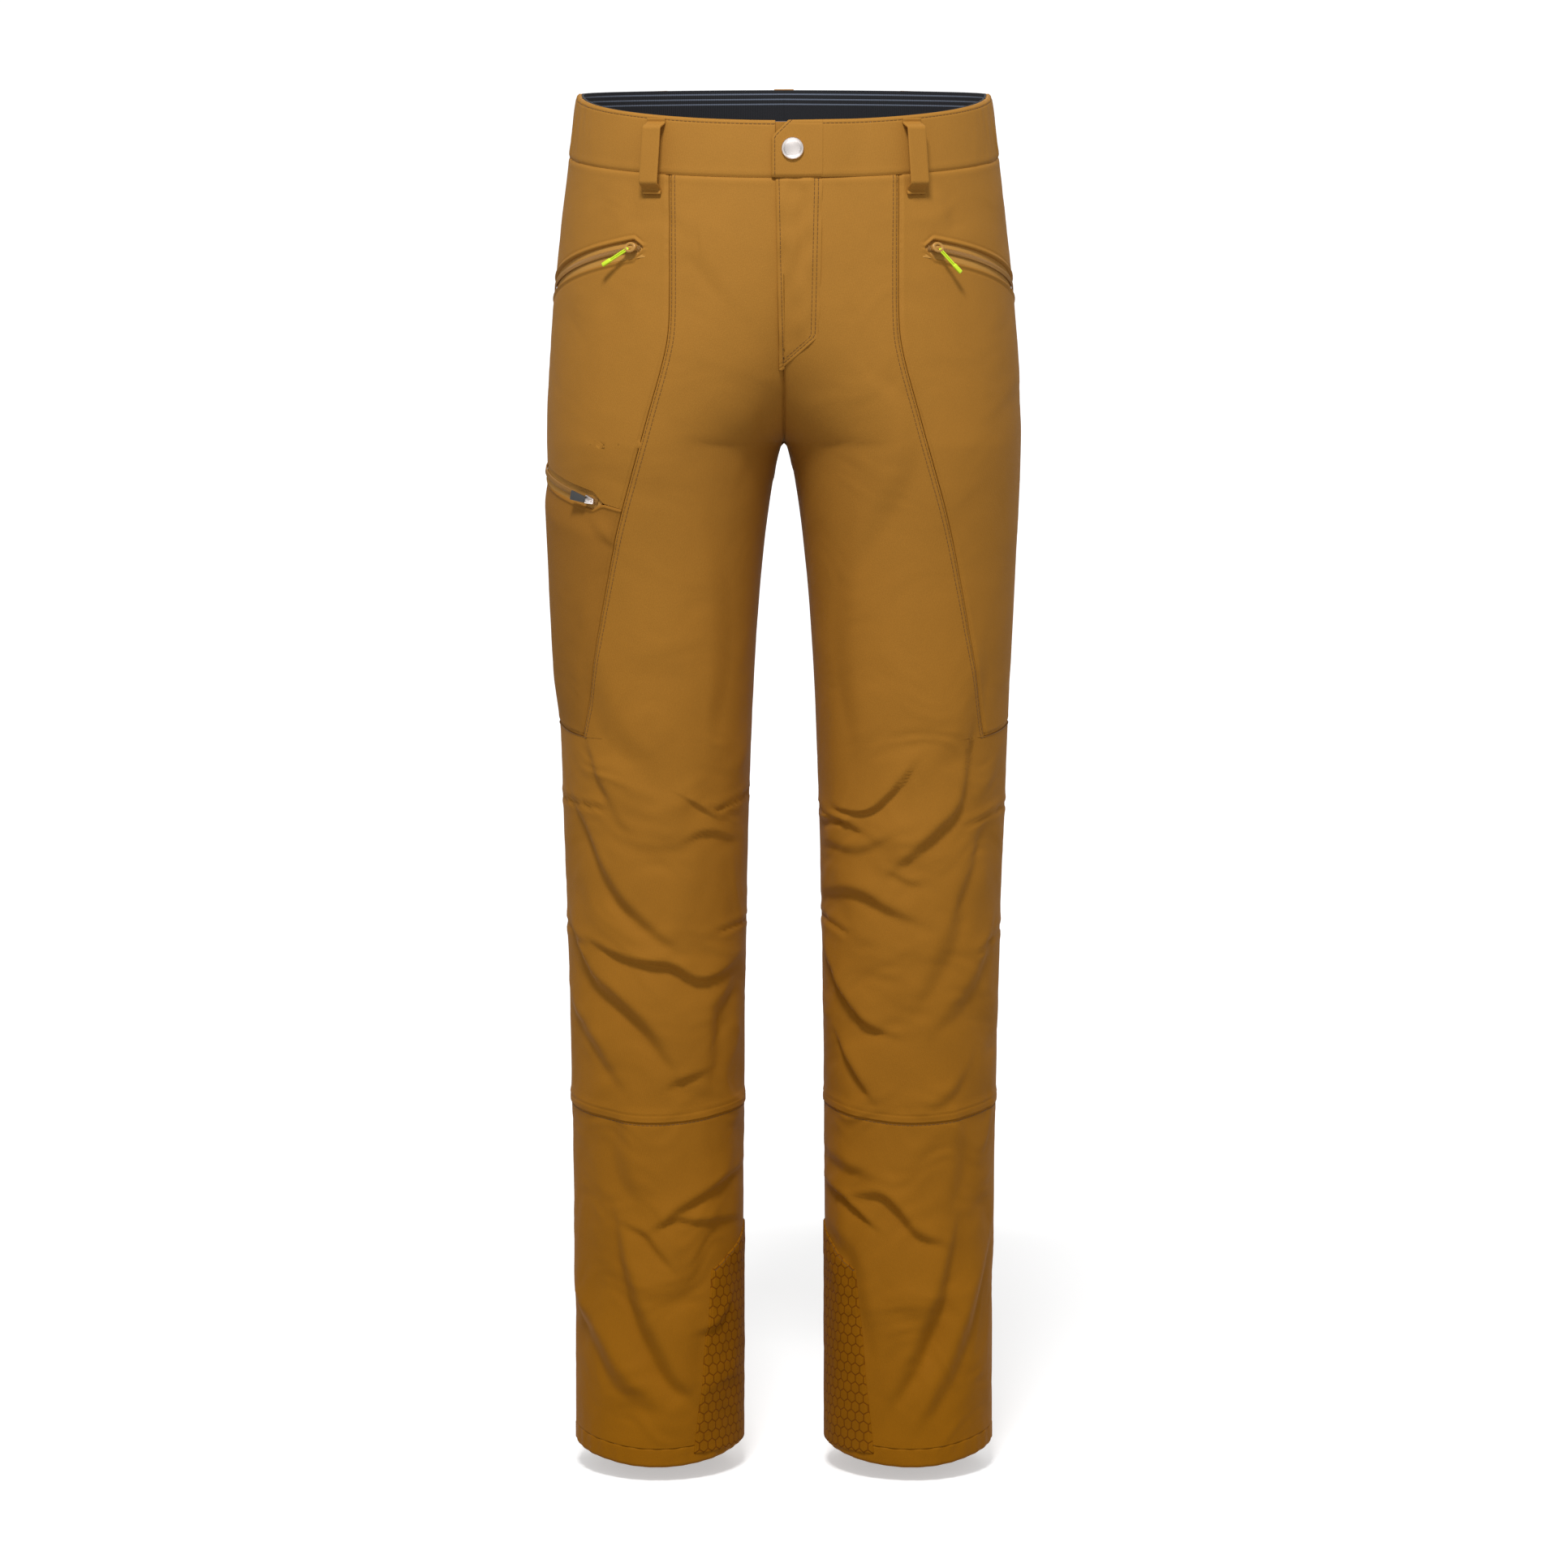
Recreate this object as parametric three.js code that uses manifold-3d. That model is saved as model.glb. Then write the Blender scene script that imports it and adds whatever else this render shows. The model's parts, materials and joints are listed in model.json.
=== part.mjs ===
// A pair of outdoor softshell trousers, standing as if worn: every fabric panel, band, loop,
// zip and fastener is its own closed solid. Millimetres, +Z up, the front faces -Y.
// The origin is the middle of the waist opening, level with the waistband's top at the sides.
import * as THREE from 'three';
import { LoftGeometry } from 'three/addons/geometries/LoftGeometry.js';
import { mergeVertices } from 'three/addons/utils/BufferGeometryUtils.js';
import Module from 'manifold-3d';

const wasm = await Module();
wasm.setup();

// ---- Overall sizes ---------------------------------------------------------------------
const RISE = 269;              // waistband top at the side down to the crotch
const INSEAM = 797.4;          // crotch to the hem at the side
const WAIST_HALF_WIDTH = 161;
const WAIST_HALF_DEPTH = 112;
const HIP_HALF_WIDTH = 185.5;
const SEAT_DEPTH = 145;        // behind the centre line, at its fullest
const KNEE_HALF_WIDTH = 170;   // outer edge of the leg at the knee, from the centre line
const HEM_HALF_WIDTH = 166.3;
const LEG_GAP = 33.5;          // inner edge of the leg at the hem, from the centre line
const FABRIC = 2.6;            // wall of one sewn layer with its lining
const SEAM_GAP = 0.6;          // clear space between two panels at a seam

// ---- Edges and seams -------------------------------------------------------------------
const BAND_HEIGHT = 48;        // waistband at the side
const TOP_FRONT_DIP = 23;      // how far the waistband's top drops at the centre front
const BAND_FRONT_DIP = 18.4;   // the same for the seam under the waistband
const BACK_RISE = 6;
const SIDE_SEAM = 0.54;        // share of the way round a leg where the back panels start
const SHIN_DROP = 521.5;       // crotch to the shin seam at the sides
const SHIN_DIP = 7.7;
const HEM_HEIGHT = 15;
const HEM_DIP = 8;
const YOKE_SIDE = 92;
const YOKE_BACK = 122;

// ---- Fly and closure -------------------------------------------------------------------
const FLAP_EDGE = -6.4;        // free edge of the fly flap
const TAB_EDGE = -9.5;         // free end of the waistband tab
const FLY_FOLD = 28;           // where flap and tab fold open
const FLY_LENGTH = 122;        // below the waistband
const FLY_ZIP_X = 9;
const FLY_ZIP_WIDTH = 24;
const TEETH_WIDTH = 2.2;
const SNAP_X = 6.4;
const SNAP_Z = -44.6;
const SNAP_DIAMETER = 17;

// ---- Belt loops ------------------------------------------------------------------------
const LOOP_WIDTH = 15.5;
const LOOP_HEIGHT = 58;
const LOOP_GAP = 6.8;          // room for the belt
const LOOP_STRAP = 1.8;
const LOOP_FRONT_X = 98;

// ---- Pocket zips -----------------------------------------------------------------------
const ZIP_WIDTH = 12.2;        // both tapes and the coil
const ZIP_TAPE = 1;
const COIL_WIDTH = 4;
const COIL_HEIGHT = 1.6;
const SLIDER_LENGTH = 9;
const SLIDER_WIDTH = 7;
const SLIDER_HEIGHT = 2.4;
const PULL_CORD_LENGTH = 15;
const PULL_END_LENGTH = 8;
const CLEAR = 0.35;            // clearance between neighbours that touch
const POCKET_BAG = 2;

// ---- Layers over and under the waistband's face -----------------------------------------
const TAB_LOW = 1.2;
const TAB_HIGH = TAB_LOW + FABRIC;
const FLAP_LOW = 0.7;
const FLAP_THICK = 2;
const UNDERLAP_HIGH = 0.4 - FABRIC;
const UNDERLAP_LOW = UNDERLAP_HIGH - FABRIC;
const ELASTIC_CLEAR = 1.3;
const ELASTIC_THICK = 1.4;

const { cos, sin, acos, min, max, abs, PI } = Math;
const lerp = THREE.MathUtils.lerp;
const clamp = THREE.MathUtils.clamp;
const above = share => -RISE * share;                 // heights between waist and crotch
const below = share => -RISE - INSEAM * share;        // heights between crotch and hem
const across = share => HIP_HALF_WIDTH * share;       // distances from the centre line
const waistToHip = share => lerp(WAIST_HALF_WIDTH, HIP_HALF_WIDTH, share);
const hipToKnee = share => lerp(HIP_HALF_WIDTH, KNEE_HALF_WIDTH, share);
const kneeToHem = share => lerp(KNEE_HALF_WIDTH, HEM_HALF_WIDTH, share);

// The body shape: half width, depth in front and behind, and how far the leg leans back.
const RIM = { front: WAIST_HALF_DEPTH - 1, back: WAIST_HALF_DEPTH - 1 };
const STATIONS = [
  { z: 14, half: WAIST_HALF_WIDTH - 1, ...RIM, lean: 0 },
  { z: 0, half: WAIST_HALF_WIDTH, front: WAIST_HALF_DEPTH, back: WAIST_HALF_DEPTH, lean: 0 },
  { z: above(0.223), half: waistToHip(0.31), front: 116, back: 122, lean: 0 },
  { z: above(0.446), half: waistToHip(0.6), front: 119, back: 135, lean: 0 },
  { z: above(0.743), half: waistToHip(0.9), front: 118, back: SEAT_DEPTH, lean: 0 },
  { z: above(1), half: HIP_HALF_WIDTH, front: 109, back: SEAT_DEPTH - 10, lean: -1 },
  { z: below(0.121), half: hipToKnee(0.24), front: 92, back: 108, lean: -4 },
  { z: below(0.291), half: hipToKnee(0.63), front: 82, back: 86, lean: -8 },
  { z: below(0.531), half: KNEE_HALF_WIDTH, front: 75, back: 76, lean: -4 },
  { z: below(0.77), half: kneeToHem(0.8), front: 71, back: 73, lean: 2 },
  { z: below(1.03), half: HEM_HALF_WIDTH, front: 72, back: 75, lean: 6 },
];

// Smooth curve through points with falling heights.
function smooth(points, key, z) {
  const level = clamp(z, points.at(-1).z, points[0].z);
  let i = 0;
  while (i < points.length - 2 && level < points[i + 1].z) i += 1;
  const slope = j => {
    const a = points[max(j - 1, 0)];
    const b = points[min(j + 1, points.length - 1)];
    return (b[key] - a[key]) / (b.z - a.z);
  };
  const h = points[i + 1].z - points[i].z;
  const t = (level - points[i].z) / h;
  return (2 * t ** 3 - 3 * t * t + 1) * points[i][key] + (t ** 3 - 2 * t * t + t) * h * slope(i)
    + (3 * t * t - 2 * t ** 3) * points[i + 1][key] + (t ** 3 - t * t) * h * slope(i + 1);
}

// One level of one side: two half ellipses, which merge over the centre line above the crotch.
function level(z) {
  const half = smooth(STATIONS, 'half', z);
  const rise = max(0, z + RISE);
  const gap = LEG_GAP * (1 - Math.exp(min(0, z + RISE) / 200)) ** 0.7;
  const middle = (half + gap) / 2;
  const frontCentre = middle * max(0, 1 - rise / 250) ** 1.6;
  const backCentre = middle * max(0, 1 - rise / 275) ** 1.1;
  const start = centre => (rise > 0 ? acos(min(1, centre / (half - centre))) : 0);
  return {
    half,
    frontCentre,
    backCentre,
    front: smooth(STATIONS, 'front', z),
    back: smooth(STATIONS, 'back', z),
    lean: smooth(STATIONS, 'lean', z),
    frontStart: start(frontCentre),
    backStart: start(backCentre),
  };
}

// A point of the outer face. way runs from 0 at the centre front or inseam, over 0.5 at the
// outer side, to 1 at the centre back or inseam. side is 1 on the wearer's left and -1 on the right.
function skin(side, way, z) {
  const way01 = way < 0 ? way + 1 : min(way, 1 - 1e-9);
  const s = level(z);
  const inFront = way01 <= 0.5;
  const centre = inFront ? s.frontCentre : s.backCentre;
  const turn = inFront ? s.frontStart + (PI - s.frontStart) * 2 * way01
    : PI + (PI - s.backStart) * (2 * way01 - 1);
  const x = centre - (s.half - centre) * cos(turn);
  const y = s.lean - (inFront ? s.front : s.back) * sin(turn);
  return new THREE.Vector3(side * x, y, z);
}

function skinNormal(side, wayRound, z) {
  const way = wayRound < 0 ? wayRound + 1 : wayRound;
  const across = skin(side, way + 0.004, z).sub(skin(side, way - 0.004, z));
  const down = skin(side, way, z - 2).sub(skin(side, way, z + 2));
  if (way < 0.004) across.copy(skin(side, 0.004, z)).sub(skin(side, 0, z));
  if (way > 0.996) across.copy(skin(side, 1 - 1e-9, z)).sub(skin(side, 0.996, z));
  return across.cross(down).multiplyScalar(-side).normalize();
}

// A point raised above the outer face, kept on its own side of the centre line.
function raised(side, way, z, height) {
  const normal = skinNormal(side, way, z);
  const point = skin(side, way, z).addScaledVector(normal, height);
  point.x = side * max(side * point.x, SEAM_GAP / 2);
  return point;
}

// The way round at which the front of one side is x away from the centre line.
function wayAt(x, z) {
  const s = level(z);
  const turn = acos(clamp((s.frontCentre - abs(x)) / (s.half - s.frontCentre), -1, 1));
  return max(0, (turn - s.frontStart) / (PI - s.frontStart) / 2);
}

// A front point given by its distance across, on either side of the centre line.
function frontPoint(x, z, height) {
  const side = x < 0 ? -1 : 1;
  const way = max(wayAt(x, z), 0.0041);
  const point = skin(side, wayAt(x, z), z);
  return point.addScaledVector(skinNormal(side, way, z), height);
}

function wayPerMm(way, z) {
  const middle = clamp(abs(way), 0.01, 0.99);
  return 0.01 / skin(1, middle + 0.005, z).distanceTo(skin(1, middle - 0.005, z));
}

// ---- Heights of the edges and seams ----------------------------------------------------
const tiltAt = (way, frontDip) => (way < 0.5 ? frontDip : BACK_RISE) * cos(PI * way);
const topZ = way => -tiltAt(way, TOP_FRONT_DIP);
const bandZ = way => -BAND_HEIGHT - tiltAt(way, BAND_FRONT_DIP);
const shinZ = way => -RISE - SHIN_DROP - SHIN_DIP * sin(2 * PI * way) ** 2;
const hemZ = way => -RISE - INSEAM - (way > 0 && way < 0.5 ? HEM_DIP * sin(2 * PI * way) ** 2 : 0);
const cuffZ = way => hemZ(way) + HEM_HEIGHT;
const yokeZ = way => lerp(-YOKE_SIDE, -YOKE_BACK, (way - SIDE_SEAM) / (1 - SIDE_SEAM));

// The seam down the front of the thigh, as distances from the centre line.
const PANEL_SEAM = [
  { z: above(0.1), x: across(0.4744) },
  { z: above(0.6), x: across(0.4722) },
  { z: above(0.72), x: across(0.4852) },
  { z: above(0.933), x: across(0.5682) },
  { z: below(0.095), x: across(0.7035) },
  { z: below(0.286), x: across(0.8491) },
];
const panelSeam = z => wayAt(smooth(PANEL_SEAM, 'x', z), z);
const PANEL_END = PANEL_SEAM.at(-1).z;
const PANEL_END_RISE = 9;      // the end seam climbs this much towards the side
const panelEndZ = way => PANEL_END
  + PANEL_END_RISE * clamp((way - panelSeam(PANEL_END)) / 0.12, 0, 1);

// ---- Solids ----------------------------------------------------------------------------
const steps = (from, to, count) => Array.from({ length: count + 1 }, (_, i) => lerp(from, to, i / count));

function volume(geometry) {
  const p = geometry.getAttribute('position');
  const index = geometry.index;
  const [a, b, c] = [new THREE.Vector3(), new THREE.Vector3(), new THREE.Vector3()];
  let total = 0;
  for (let i = 0; i < index.count; i += 3) {
    a.fromBufferAttribute(p, index.getX(i));
    b.fromBufferAttribute(p, index.getX(i + 1));
    c.fromBufferAttribute(p, index.getX(i + 2));
    total += a.dot(b.cross(c)) / 6;
  }
  return total;
}

// A closed wall between two heights of point(along, aside, height), lofted along its first list.
function wall(point, inside, outside, along, aside, ring = false) {
  const sections = along.map(u => [
    ...aside.map(v => point(u, v, outside)),
    ...aside.toReversed().map(v => point(u, v, inside)),
  ]);
  if (ring) sections.push(sections[0].map(p => p.clone()));
  const ends = { capStart: !ring, capEnd: !ring };
  const geometry = new LoftGeometry(sections, ends);
  return volume(geometry) > 0 ? geometry : new LoftGeometry(sections.map(s => s.toReversed()), ends);
}

// A sewn panel on one side, between two ways round and two edges, clear of its seams. Its rows
// between the edges stand at the given levels, so that neighbours bend at the same heights.
function panel(side, from, to, top, bottom, count, levels, inside = -FABRIC, outside = 0,
  gap = SEAM_GAP, sideways = false) {
  const last = levels.length + 1;
  const heightAt = (row, way) => {
    if (row === 0) return top(way) - gap / 2;
    return row === last ? bottom(way) + gap / 2 : levels[row - 1];
  };
  const point = (row, u, height) => {
    let z = heightAt(row, 0.3);
    let way = 0;
    for (let i = 0; i < 6; i += 1) {
      const start = from(z) + gap / 2 * wayPerMm(from(z), z);
      way = lerp(start, to(z) - gap / 2 * wayPerMm(to(z), z), u);
      z = heightAt(row, way);
    }
    return raised(side, way, z, height);
  };
  const [rows, columns] = [steps(0, last, last), steps(0, 1, count)];
  return sideways ? wall((u, row, height) => point(row, u, height), inside, outside, columns, rows)
    : wall(point, inside, outside, rows, columns);
}

function toManifold(geometry) {
  const bare = new THREE.BufferGeometry().copy(geometry);
  bare.deleteAttribute('normal');
  bare.deleteAttribute('uv');
  const merged = mergeVertices(bare, 1e-4);
  return new wasm.Manifold(new wasm.Mesh({
    numProp: 3,
    vertProperties: new Float32Array(merged.getAttribute('position').array),
    triVerts: new Uint32Array(merged.index.array),
  }));
}

function fromManifold(solid) {
  const mesh = solid.getMesh();
  const geometry = new THREE.BufferGeometry();
  geometry.setAttribute('position', new THREE.BufferAttribute(mesh.vertProperties, 3));
  geometry.setIndex(new THREE.BufferAttribute(mesh.triVerts, 1));
  geometry.computeVertexNormals();
  return geometry;
}

const cut = (geometry, ...tools) => fromManifold(
  tools.reduce((solid, tool) => solid.subtract(toManifold(tool)), toManifold(geometry)));
const join = (geometry, ...others) => fromManifold(
  others.reduce((solid, other) => solid.add(toManifold(other)), toManifold(geometry)));

// An outline in (first, second) coordinates pushed along the third axis of a frame.
function slab(outline, thickness, frame) {
  const shape = new THREE.Shape(outline.map(([x, y]) => new THREE.Vector2(x, y)));
  const geometry = new THREE.ExtrudeGeometry(shape, { depth: thickness, bevelEnabled: false });
  return geometry.applyMatrix4(frame);
}

function frameAt(origin, first, third) {
  const z = third.clone().normalize();
  const x = first.clone().addScaledVector(z, -first.dot(z)).normalize();
  const y = z.clone().cross(x);
  return new THREE.Matrix4().makeBasis(x, y, z).setPosition(origin);
}

const rectangle = (x0, x1, y0, y1) => [[x0, y0], [x1, y0], [x1, y1], [x0, y1]];

// A pin, cap or ring turned about the third axis of a frame: radius and height of each corner.
function turned(profile, frame, sides = 24) {
  const lathe = new THREE.LatheGeometry(profile.map(([r, h]) => new THREE.Vector2(r, h)), sides);
  lathe.rotateX(PI / 2);
  return lathe.applyMatrix4(frame);
}

// ---- Materials -------------------------------------------------------------------------
const material = (color, roughness, metalness = 0) =>
  new THREE.MeshStandardMaterial({ color, roughness, metalness });
const FINISH = {
  softshell: material(0x996a27, 0.85),
  pocketFabric: material(0x8f6127, 0.85),
  scuffFabric: material(0x6c3501, 0.8),
  lining: material(0x3a3530, 0.9),
  elastic: material(0x202227, 0.8),
  tape: material(0xa87a35, 0.7),
  coil: material(0x8a6326, 0.5),
  neon: material(0xc8eb1e, 0.5),
  grey: material(0x555555, 0.5),
  steel: material(0xccc6c2, 0.3, 1),
};

const trousers = new THREE.Group();

function add(name, geometry, finish) {
  const mesh = new THREE.Mesh(geometry, finish);
  mesh.name = name;
  trousers.add(mesh);
  return mesh;
}

const SIDES = [{ side: 1, name: 'left' }, { side: -1, name: 'right' }];
const TORSO_LEVELS = [0.35, 0.5, 0.6, 0.7, 0.78, 0.86, 0.92, 0.96, 0.99].map(above);
const THIGH_LEVELS = [0.008, 0.03, 0.06, 0.1, 0.15, 0.21, 0.25, 0.36, 0.48, 0.58].map(below);
const BODY_LEVELS = [...TORSO_LEVELS, ...THIGH_LEVELS];

// ---- Zips along an arc -----------------------------------------------------------------
// The circle through three points of the skin: the track that the slider follows.
function arcThrough(a, b, c) {
  const ab = b.clone().sub(a);
  const ac = c.clone().sub(a);
  const normal = ab.clone().cross(ac);
  const centre = normal.clone().cross(ab).multiplyScalar(ac.lengthSq())
    .add(ac.clone().cross(normal).multiplyScalar(ab.lengthSq()))
    .divideScalar(2 * normal.lengthSq()).add(a);
  const radius = centre.distanceTo(a);
  const axis = normal.normalize();
  const radial = a.clone().sub(centre).normalize();
  const tangent = axis.clone().cross(radial);
  const end = c.clone().sub(centre);
  const angle = Math.atan2(end.dot(tangent), end.dot(radial));
  return { centre, radius, axis, radial, tangent, angle };
}

function arcPoint(arc, along, height, aside) {
  const turn = along / arc.radius;
  return arc.centre.clone()
    .addScaledVector(arc.radial, (arc.radius + height) * cos(turn))
    .addScaledVector(arc.tangent, (arc.radius + height) * sin(turn))
    .addScaledVector(arc.axis, aside);
}

function arcBar(arc, from, to, low, high, width, count = 14) {
  return wall((u, v, height) => arcPoint(arc, u, height, v), low, high,
    steps(from, to, count), [-width / 2, width / 2]);
}

// The frame of a piece on the track: first axis along it, third axis away from the cloth.
function trackFrame(arc, along, height) {
  const origin = arcPoint(arc, along, height, 0);
  const out = arcPoint(arc, along, height + 1, 0).sub(origin);
  return frameAt(origin, arcPoint(arc, along + 1, height, 0).sub(origin), out);
}

const TAPE_LOW = -2.2;
const TAPE_HIGH = TAPE_LOW + ZIP_TAPE;
const COIL_LOW = TAPE_HIGH + CLEAR;
const COIL_HIGH = COIL_LOW + COIL_HEIGHT;
const SLIDER_LOW = COIL_HIGH + CLEAR;
const PULL_LOW = SLIDER_LOW + SLIDER_HEIGHT + CLEAR;

// Tapes and coil on the body; the slider waits at the closed end with its pull laid along the zip.
function arcZip(name, arc, pull) {
  const length = arc.radius * arc.angle;
  add(`${name}_tape`, arcBar(arc, 0, length, TAPE_LOW, TAPE_HIGH, ZIP_WIDTH), FINISH.tape);
  add(`${name}_coil`, arcBar(arc, 3, length - 3, COIL_LOW, COIL_HIGH, COIL_WIDTH), FINISH.coil);
  const half = SLIDER_LENGTH / 2;
  const wide = SLIDER_WIDTH / 2;
  const body = slab([[-half, -wide / 2], [-half + 2, -wide], [half - 1, -wide], [half, 1 - wide],
    [half, wide - 1], [half - 1, wide], [2 - half, wide], [-half, wide / 2]],
    SLIDER_HEIGHT, trackFrame(arc, SLIDER_LENGTH, SLIDER_LOW));
  const bail = slab(rectangle(-2.5, 2.5, -1.2, 1.2), SLIDER_HEIGHT + 2,
    trackFrame(arc, SLIDER_LENGTH, SLIDER_LOW));
  add(`${name}_slider`, join(body, bail), pull.slider);
  const start = 2.5 + CLEAR;
  const frame = trackFrame(arc, SLIDER_LENGTH, PULL_LOW);
  if (pull.cord) {
    add(`${name}_pull_cord`, slab(rectangle(start, start + PULL_CORD_LENGTH, -1.5, 1.5), 1.6, frame),
      pull.finish);
  }
  const first = pull.cord ? start + PULL_CORD_LENGTH + CLEAR : start;
  const last = first + pull.length;
  const [root, tip] = [pull.rootWidth / 2, pull.tipWidth / 2];
  add(`${name}_pull_end`, slab([[first, -root], [last - 2, -tip], [last, -tip / 2], [last, tip / 2],
    [last - 2, tip], [first, root]], 2.2, frame), pull.finish);
}

// ---- Waistband -------------------------------------------------------------------------
// A strip over the centre front, given by distances across at each share of its height.
function frontStrip(from, to, top, bottom, inside, outside, count, shares) {
  const point = (u, v, height) => {
    const x = lerp(from(v), to(v), u);
    const way = wayAt(x, -60);
    return frontPoint(x, lerp(top(way), bottom(way), v), height);
  };
  return wall(point, inside, outside, steps(0, 1, count), shares);
}

// A band round the back from one front to the other, at a given way round on each side.
function backBand(way, top, bottom, inside, outside, count) {
  const point = (u, v, height) => {
    const side = u < 0 ? 1 : -1;
    const at = lerp(1, way, abs(u));
    return raised(side, at, lerp(top(at), bottom(at), v), height);
  };
  const half = steps(0, 1, count);
  const all = [...half.toReversed().map(u => -u - 1e-9), ...half];
  return wall(point, inside, outside, all, [0, 0.5, 1]);
}

const HALVES = [0, 0.5, 1];
const CHAMFER_END = 0.29;      // share of the tab's height over which its top corner is cut off

add('waistband_front_left', panel(1, z => wayAt(FLY_FOLD + 0.4, z), () => SIDE_SEAM, topZ, bandZ, 9,
  [-27]), FINISH.softshell);
add('waistband_front_right', join(
  panel(-1, z => wayAt(FLAP_EDGE, z), () => SIDE_SEAM, topZ, bandZ, 9, [-27]),
  frontStrip(() => FLAP_EDGE - 8, () => FLY_FOLD - 5, way => topZ(way) - 1, way => bandZ(way) + 1,
    UNDERLAP_LOW, UNDERLAP_HIGH, 4, HALVES)), FINISH.softshell);
add('waistband_back', backBand(SIDE_SEAM + 0.001, topZ, way => bandZ(way) + SEAM_GAP / 2, -FABRIC,
  0, 9), FINISH.softshell);
const tabEdge = v => lerp(3.4, TAB_EDGE, min(1, v / CHAMFER_END));
add('waistband_tab', frontStrip(tabEdge, () => FLY_FOLD - 0.4, topZ, way => bandZ(way) + SEAM_GAP / 2,
  TAB_LOW, TAB_HIGH, 4, [0, CHAMFER_END, 0.65, 1]), FINISH.softshell);
add('waist_elastic', backBand(0.2, way => topZ(way) - 4, way => bandZ(way) + 6,
  -FABRIC - ELASTIC_CLEAR - ELASTIC_THICK, -FABRIC - ELASTIC_CLEAR, 13), FINISH.elastic);

// ---- Belt loops ------------------------------------------------------------------------
function beltLoop(name, side, way, middle) {
  const out = skinNormal(side, way, middle);
  const down = skin(side, way, middle - 5).sub(skin(side, way, middle + 5));
  down.addScaledVector(out, -down.dot(out)).normalize();
  const width = down.clone().cross(out);
  const origin = skin(side, way, middle).addScaledVector(width, -LOOP_WIDTH / 2)
    .addScaledVector(out, 1.4);
  const h = LOOP_HEIGHT / 2;
  const face = LOOP_GAP + LOOP_STRAP;
  const outline = [[-h, 0], [4.5 - h, 0], [8 - h, LOOP_GAP], [h - 8, LOOP_GAP], [h - 4.5, 0], [h, 0],
    [h, LOOP_STRAP], [h - 5.5, face], [5.5 - h, face], [-h, LOOP_STRAP]];
  add(name, slab(outline, LOOP_WIDTH, new THREE.Matrix4().makeBasis(down, out, width)
    .setPosition(origin)), FINISH.softshell);
}

for (const { side, name } of SIDES) {
  beltLoop(`belt_loop_front_${name}`, side, wayAt(LOOP_FRONT_X, -50), -50);
  beltLoop(`belt_loop_back_${name}`, side, 0.79, -24);
}
beltLoop('belt_loop_back_middle', 1, 0.99999, -22);

// ---- Snap ------------------------------------------------------------------------------
const snapFrame = frameAt(frontPoint(SNAP_X, SNAP_Z, 0), new THREE.Vector3(1, 0, 0),
  skinNormal(1, wayAt(SNAP_X, SNAP_Z), SNAP_Z));
const capLow = TAB_HIGH + 0.6;
const capRim = SNAP_DIAMETER / 2;
const studRadius = 2.7;
const studFoot = UNDERLAP_HIGH + CLEAR + 0.1;
add('snap_cap', turned([[0, capLow], [capRim, capLow], [capRim, capLow + 1.3], [capRim - 1.2, capLow + 2],
  [capRim - 2.8, capLow + 1.4], [0, capLow + 1.7]], snapFrame), FINISH.steel);
add('snap_socket', turned([[studRadius + 0.5, -0.6], [5.6, -0.6], [5.6, TAB_LOW - 0.3],
  [studRadius + 0.5, TAB_LOW - 0.3], [studRadius + 0.5, -0.6]], snapFrame), FINISH.steel);
add('snap_stud', turned([[0, studFoot], [4.6, studFoot], [4.6, studFoot + 0.8], [studRadius, studFoot + 0.8],
  [studRadius, 0.4], [0, 0.4]], snapFrame), FINISH.steel);
add('snap_back', turned([[0, UNDERLAP_LOW - 1.5], [5, UNDERLAP_LOW - 1.5], [5, UNDERLAP_LOW - 0.5],
  [0, UNDERLAP_LOW - 0.5]], snapFrame), FINISH.steel);

// ---- Fly -------------------------------------------------------------------------------
const flyTop = bandZ(0) - 5;
const flyBottom = flyTop - FLY_LENGTH;
add('fly_flap', frontStrip(v => lerp(FLAP_EDGE, FLAP_EDGE + 2.4, v), () => FLY_FOLD - 0.4,
  way => bandZ(way) - SEAM_GAP / 2, () => flyBottom, FLAP_LOW, FLAP_LOW + FLAP_THICK, 4,
  steps(0, 1, 5)), FINISH.softshell);

// The zip is straight: first axis down it, second to the wearer's left, third out of the cloth.
const flyHead = frontPoint(FLY_ZIP_X, flyTop, -10);
const flyFoot = frontPoint(FLY_ZIP_X, flyBottom, -13).setX(flyHead.x);
const flyDown = flyFoot.clone().sub(flyHead).normalize();
const flyOut = flyDown.clone().cross(new THREE.Vector3(1, 0, 0));
const flyFrame = height => frameAt(flyHead.clone().addScaledVector(flyOut, height), flyDown, flyOut);
const TEETH_LOW = ZIP_TAPE + CLEAR;
const FLY_SLIDER_LOW = TEETH_LOW + TEETH_WIDTH + CLEAR;
for (const { side, name } of SIDES) {
  const strip = (from, to, near, far) => rectangle(from, to, min(side * near, side * far),
    max(side * near, side * far));
  add(`fly_tape_${name}`, slab(strip(0, FLY_LENGTH - 2, CLEAR, FLY_ZIP_WIDTH / 2), ZIP_TAPE, flyFrame(0)),
    FINISH.tape);
  add(`fly_teeth_${name}`, slab(strip(2, FLY_LENGTH - 7, CLEAR / 2, TEETH_WIDTH), TEETH_WIDTH,
    flyFrame(TEETH_LOW)), FINISH.coil);
}
add('fly_bottom_stop', slab(rectangle(FLY_LENGTH - 6.5, FLY_LENGTH - 3.5, -3.2, 3.2), TEETH_WIDTH,
  flyFrame(TEETH_LOW)), FINISH.steel);
add('fly_slider', slab([[1, -2], [3, -4.2], [9, -4.2], [10.5, -2.6], [10.5, 2.6], [9, 4.2], [3, 4.2],
  [1, 2]], SLIDER_HEIGHT, flyFrame(FLY_SLIDER_LOW)), FINISH.steel);
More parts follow.
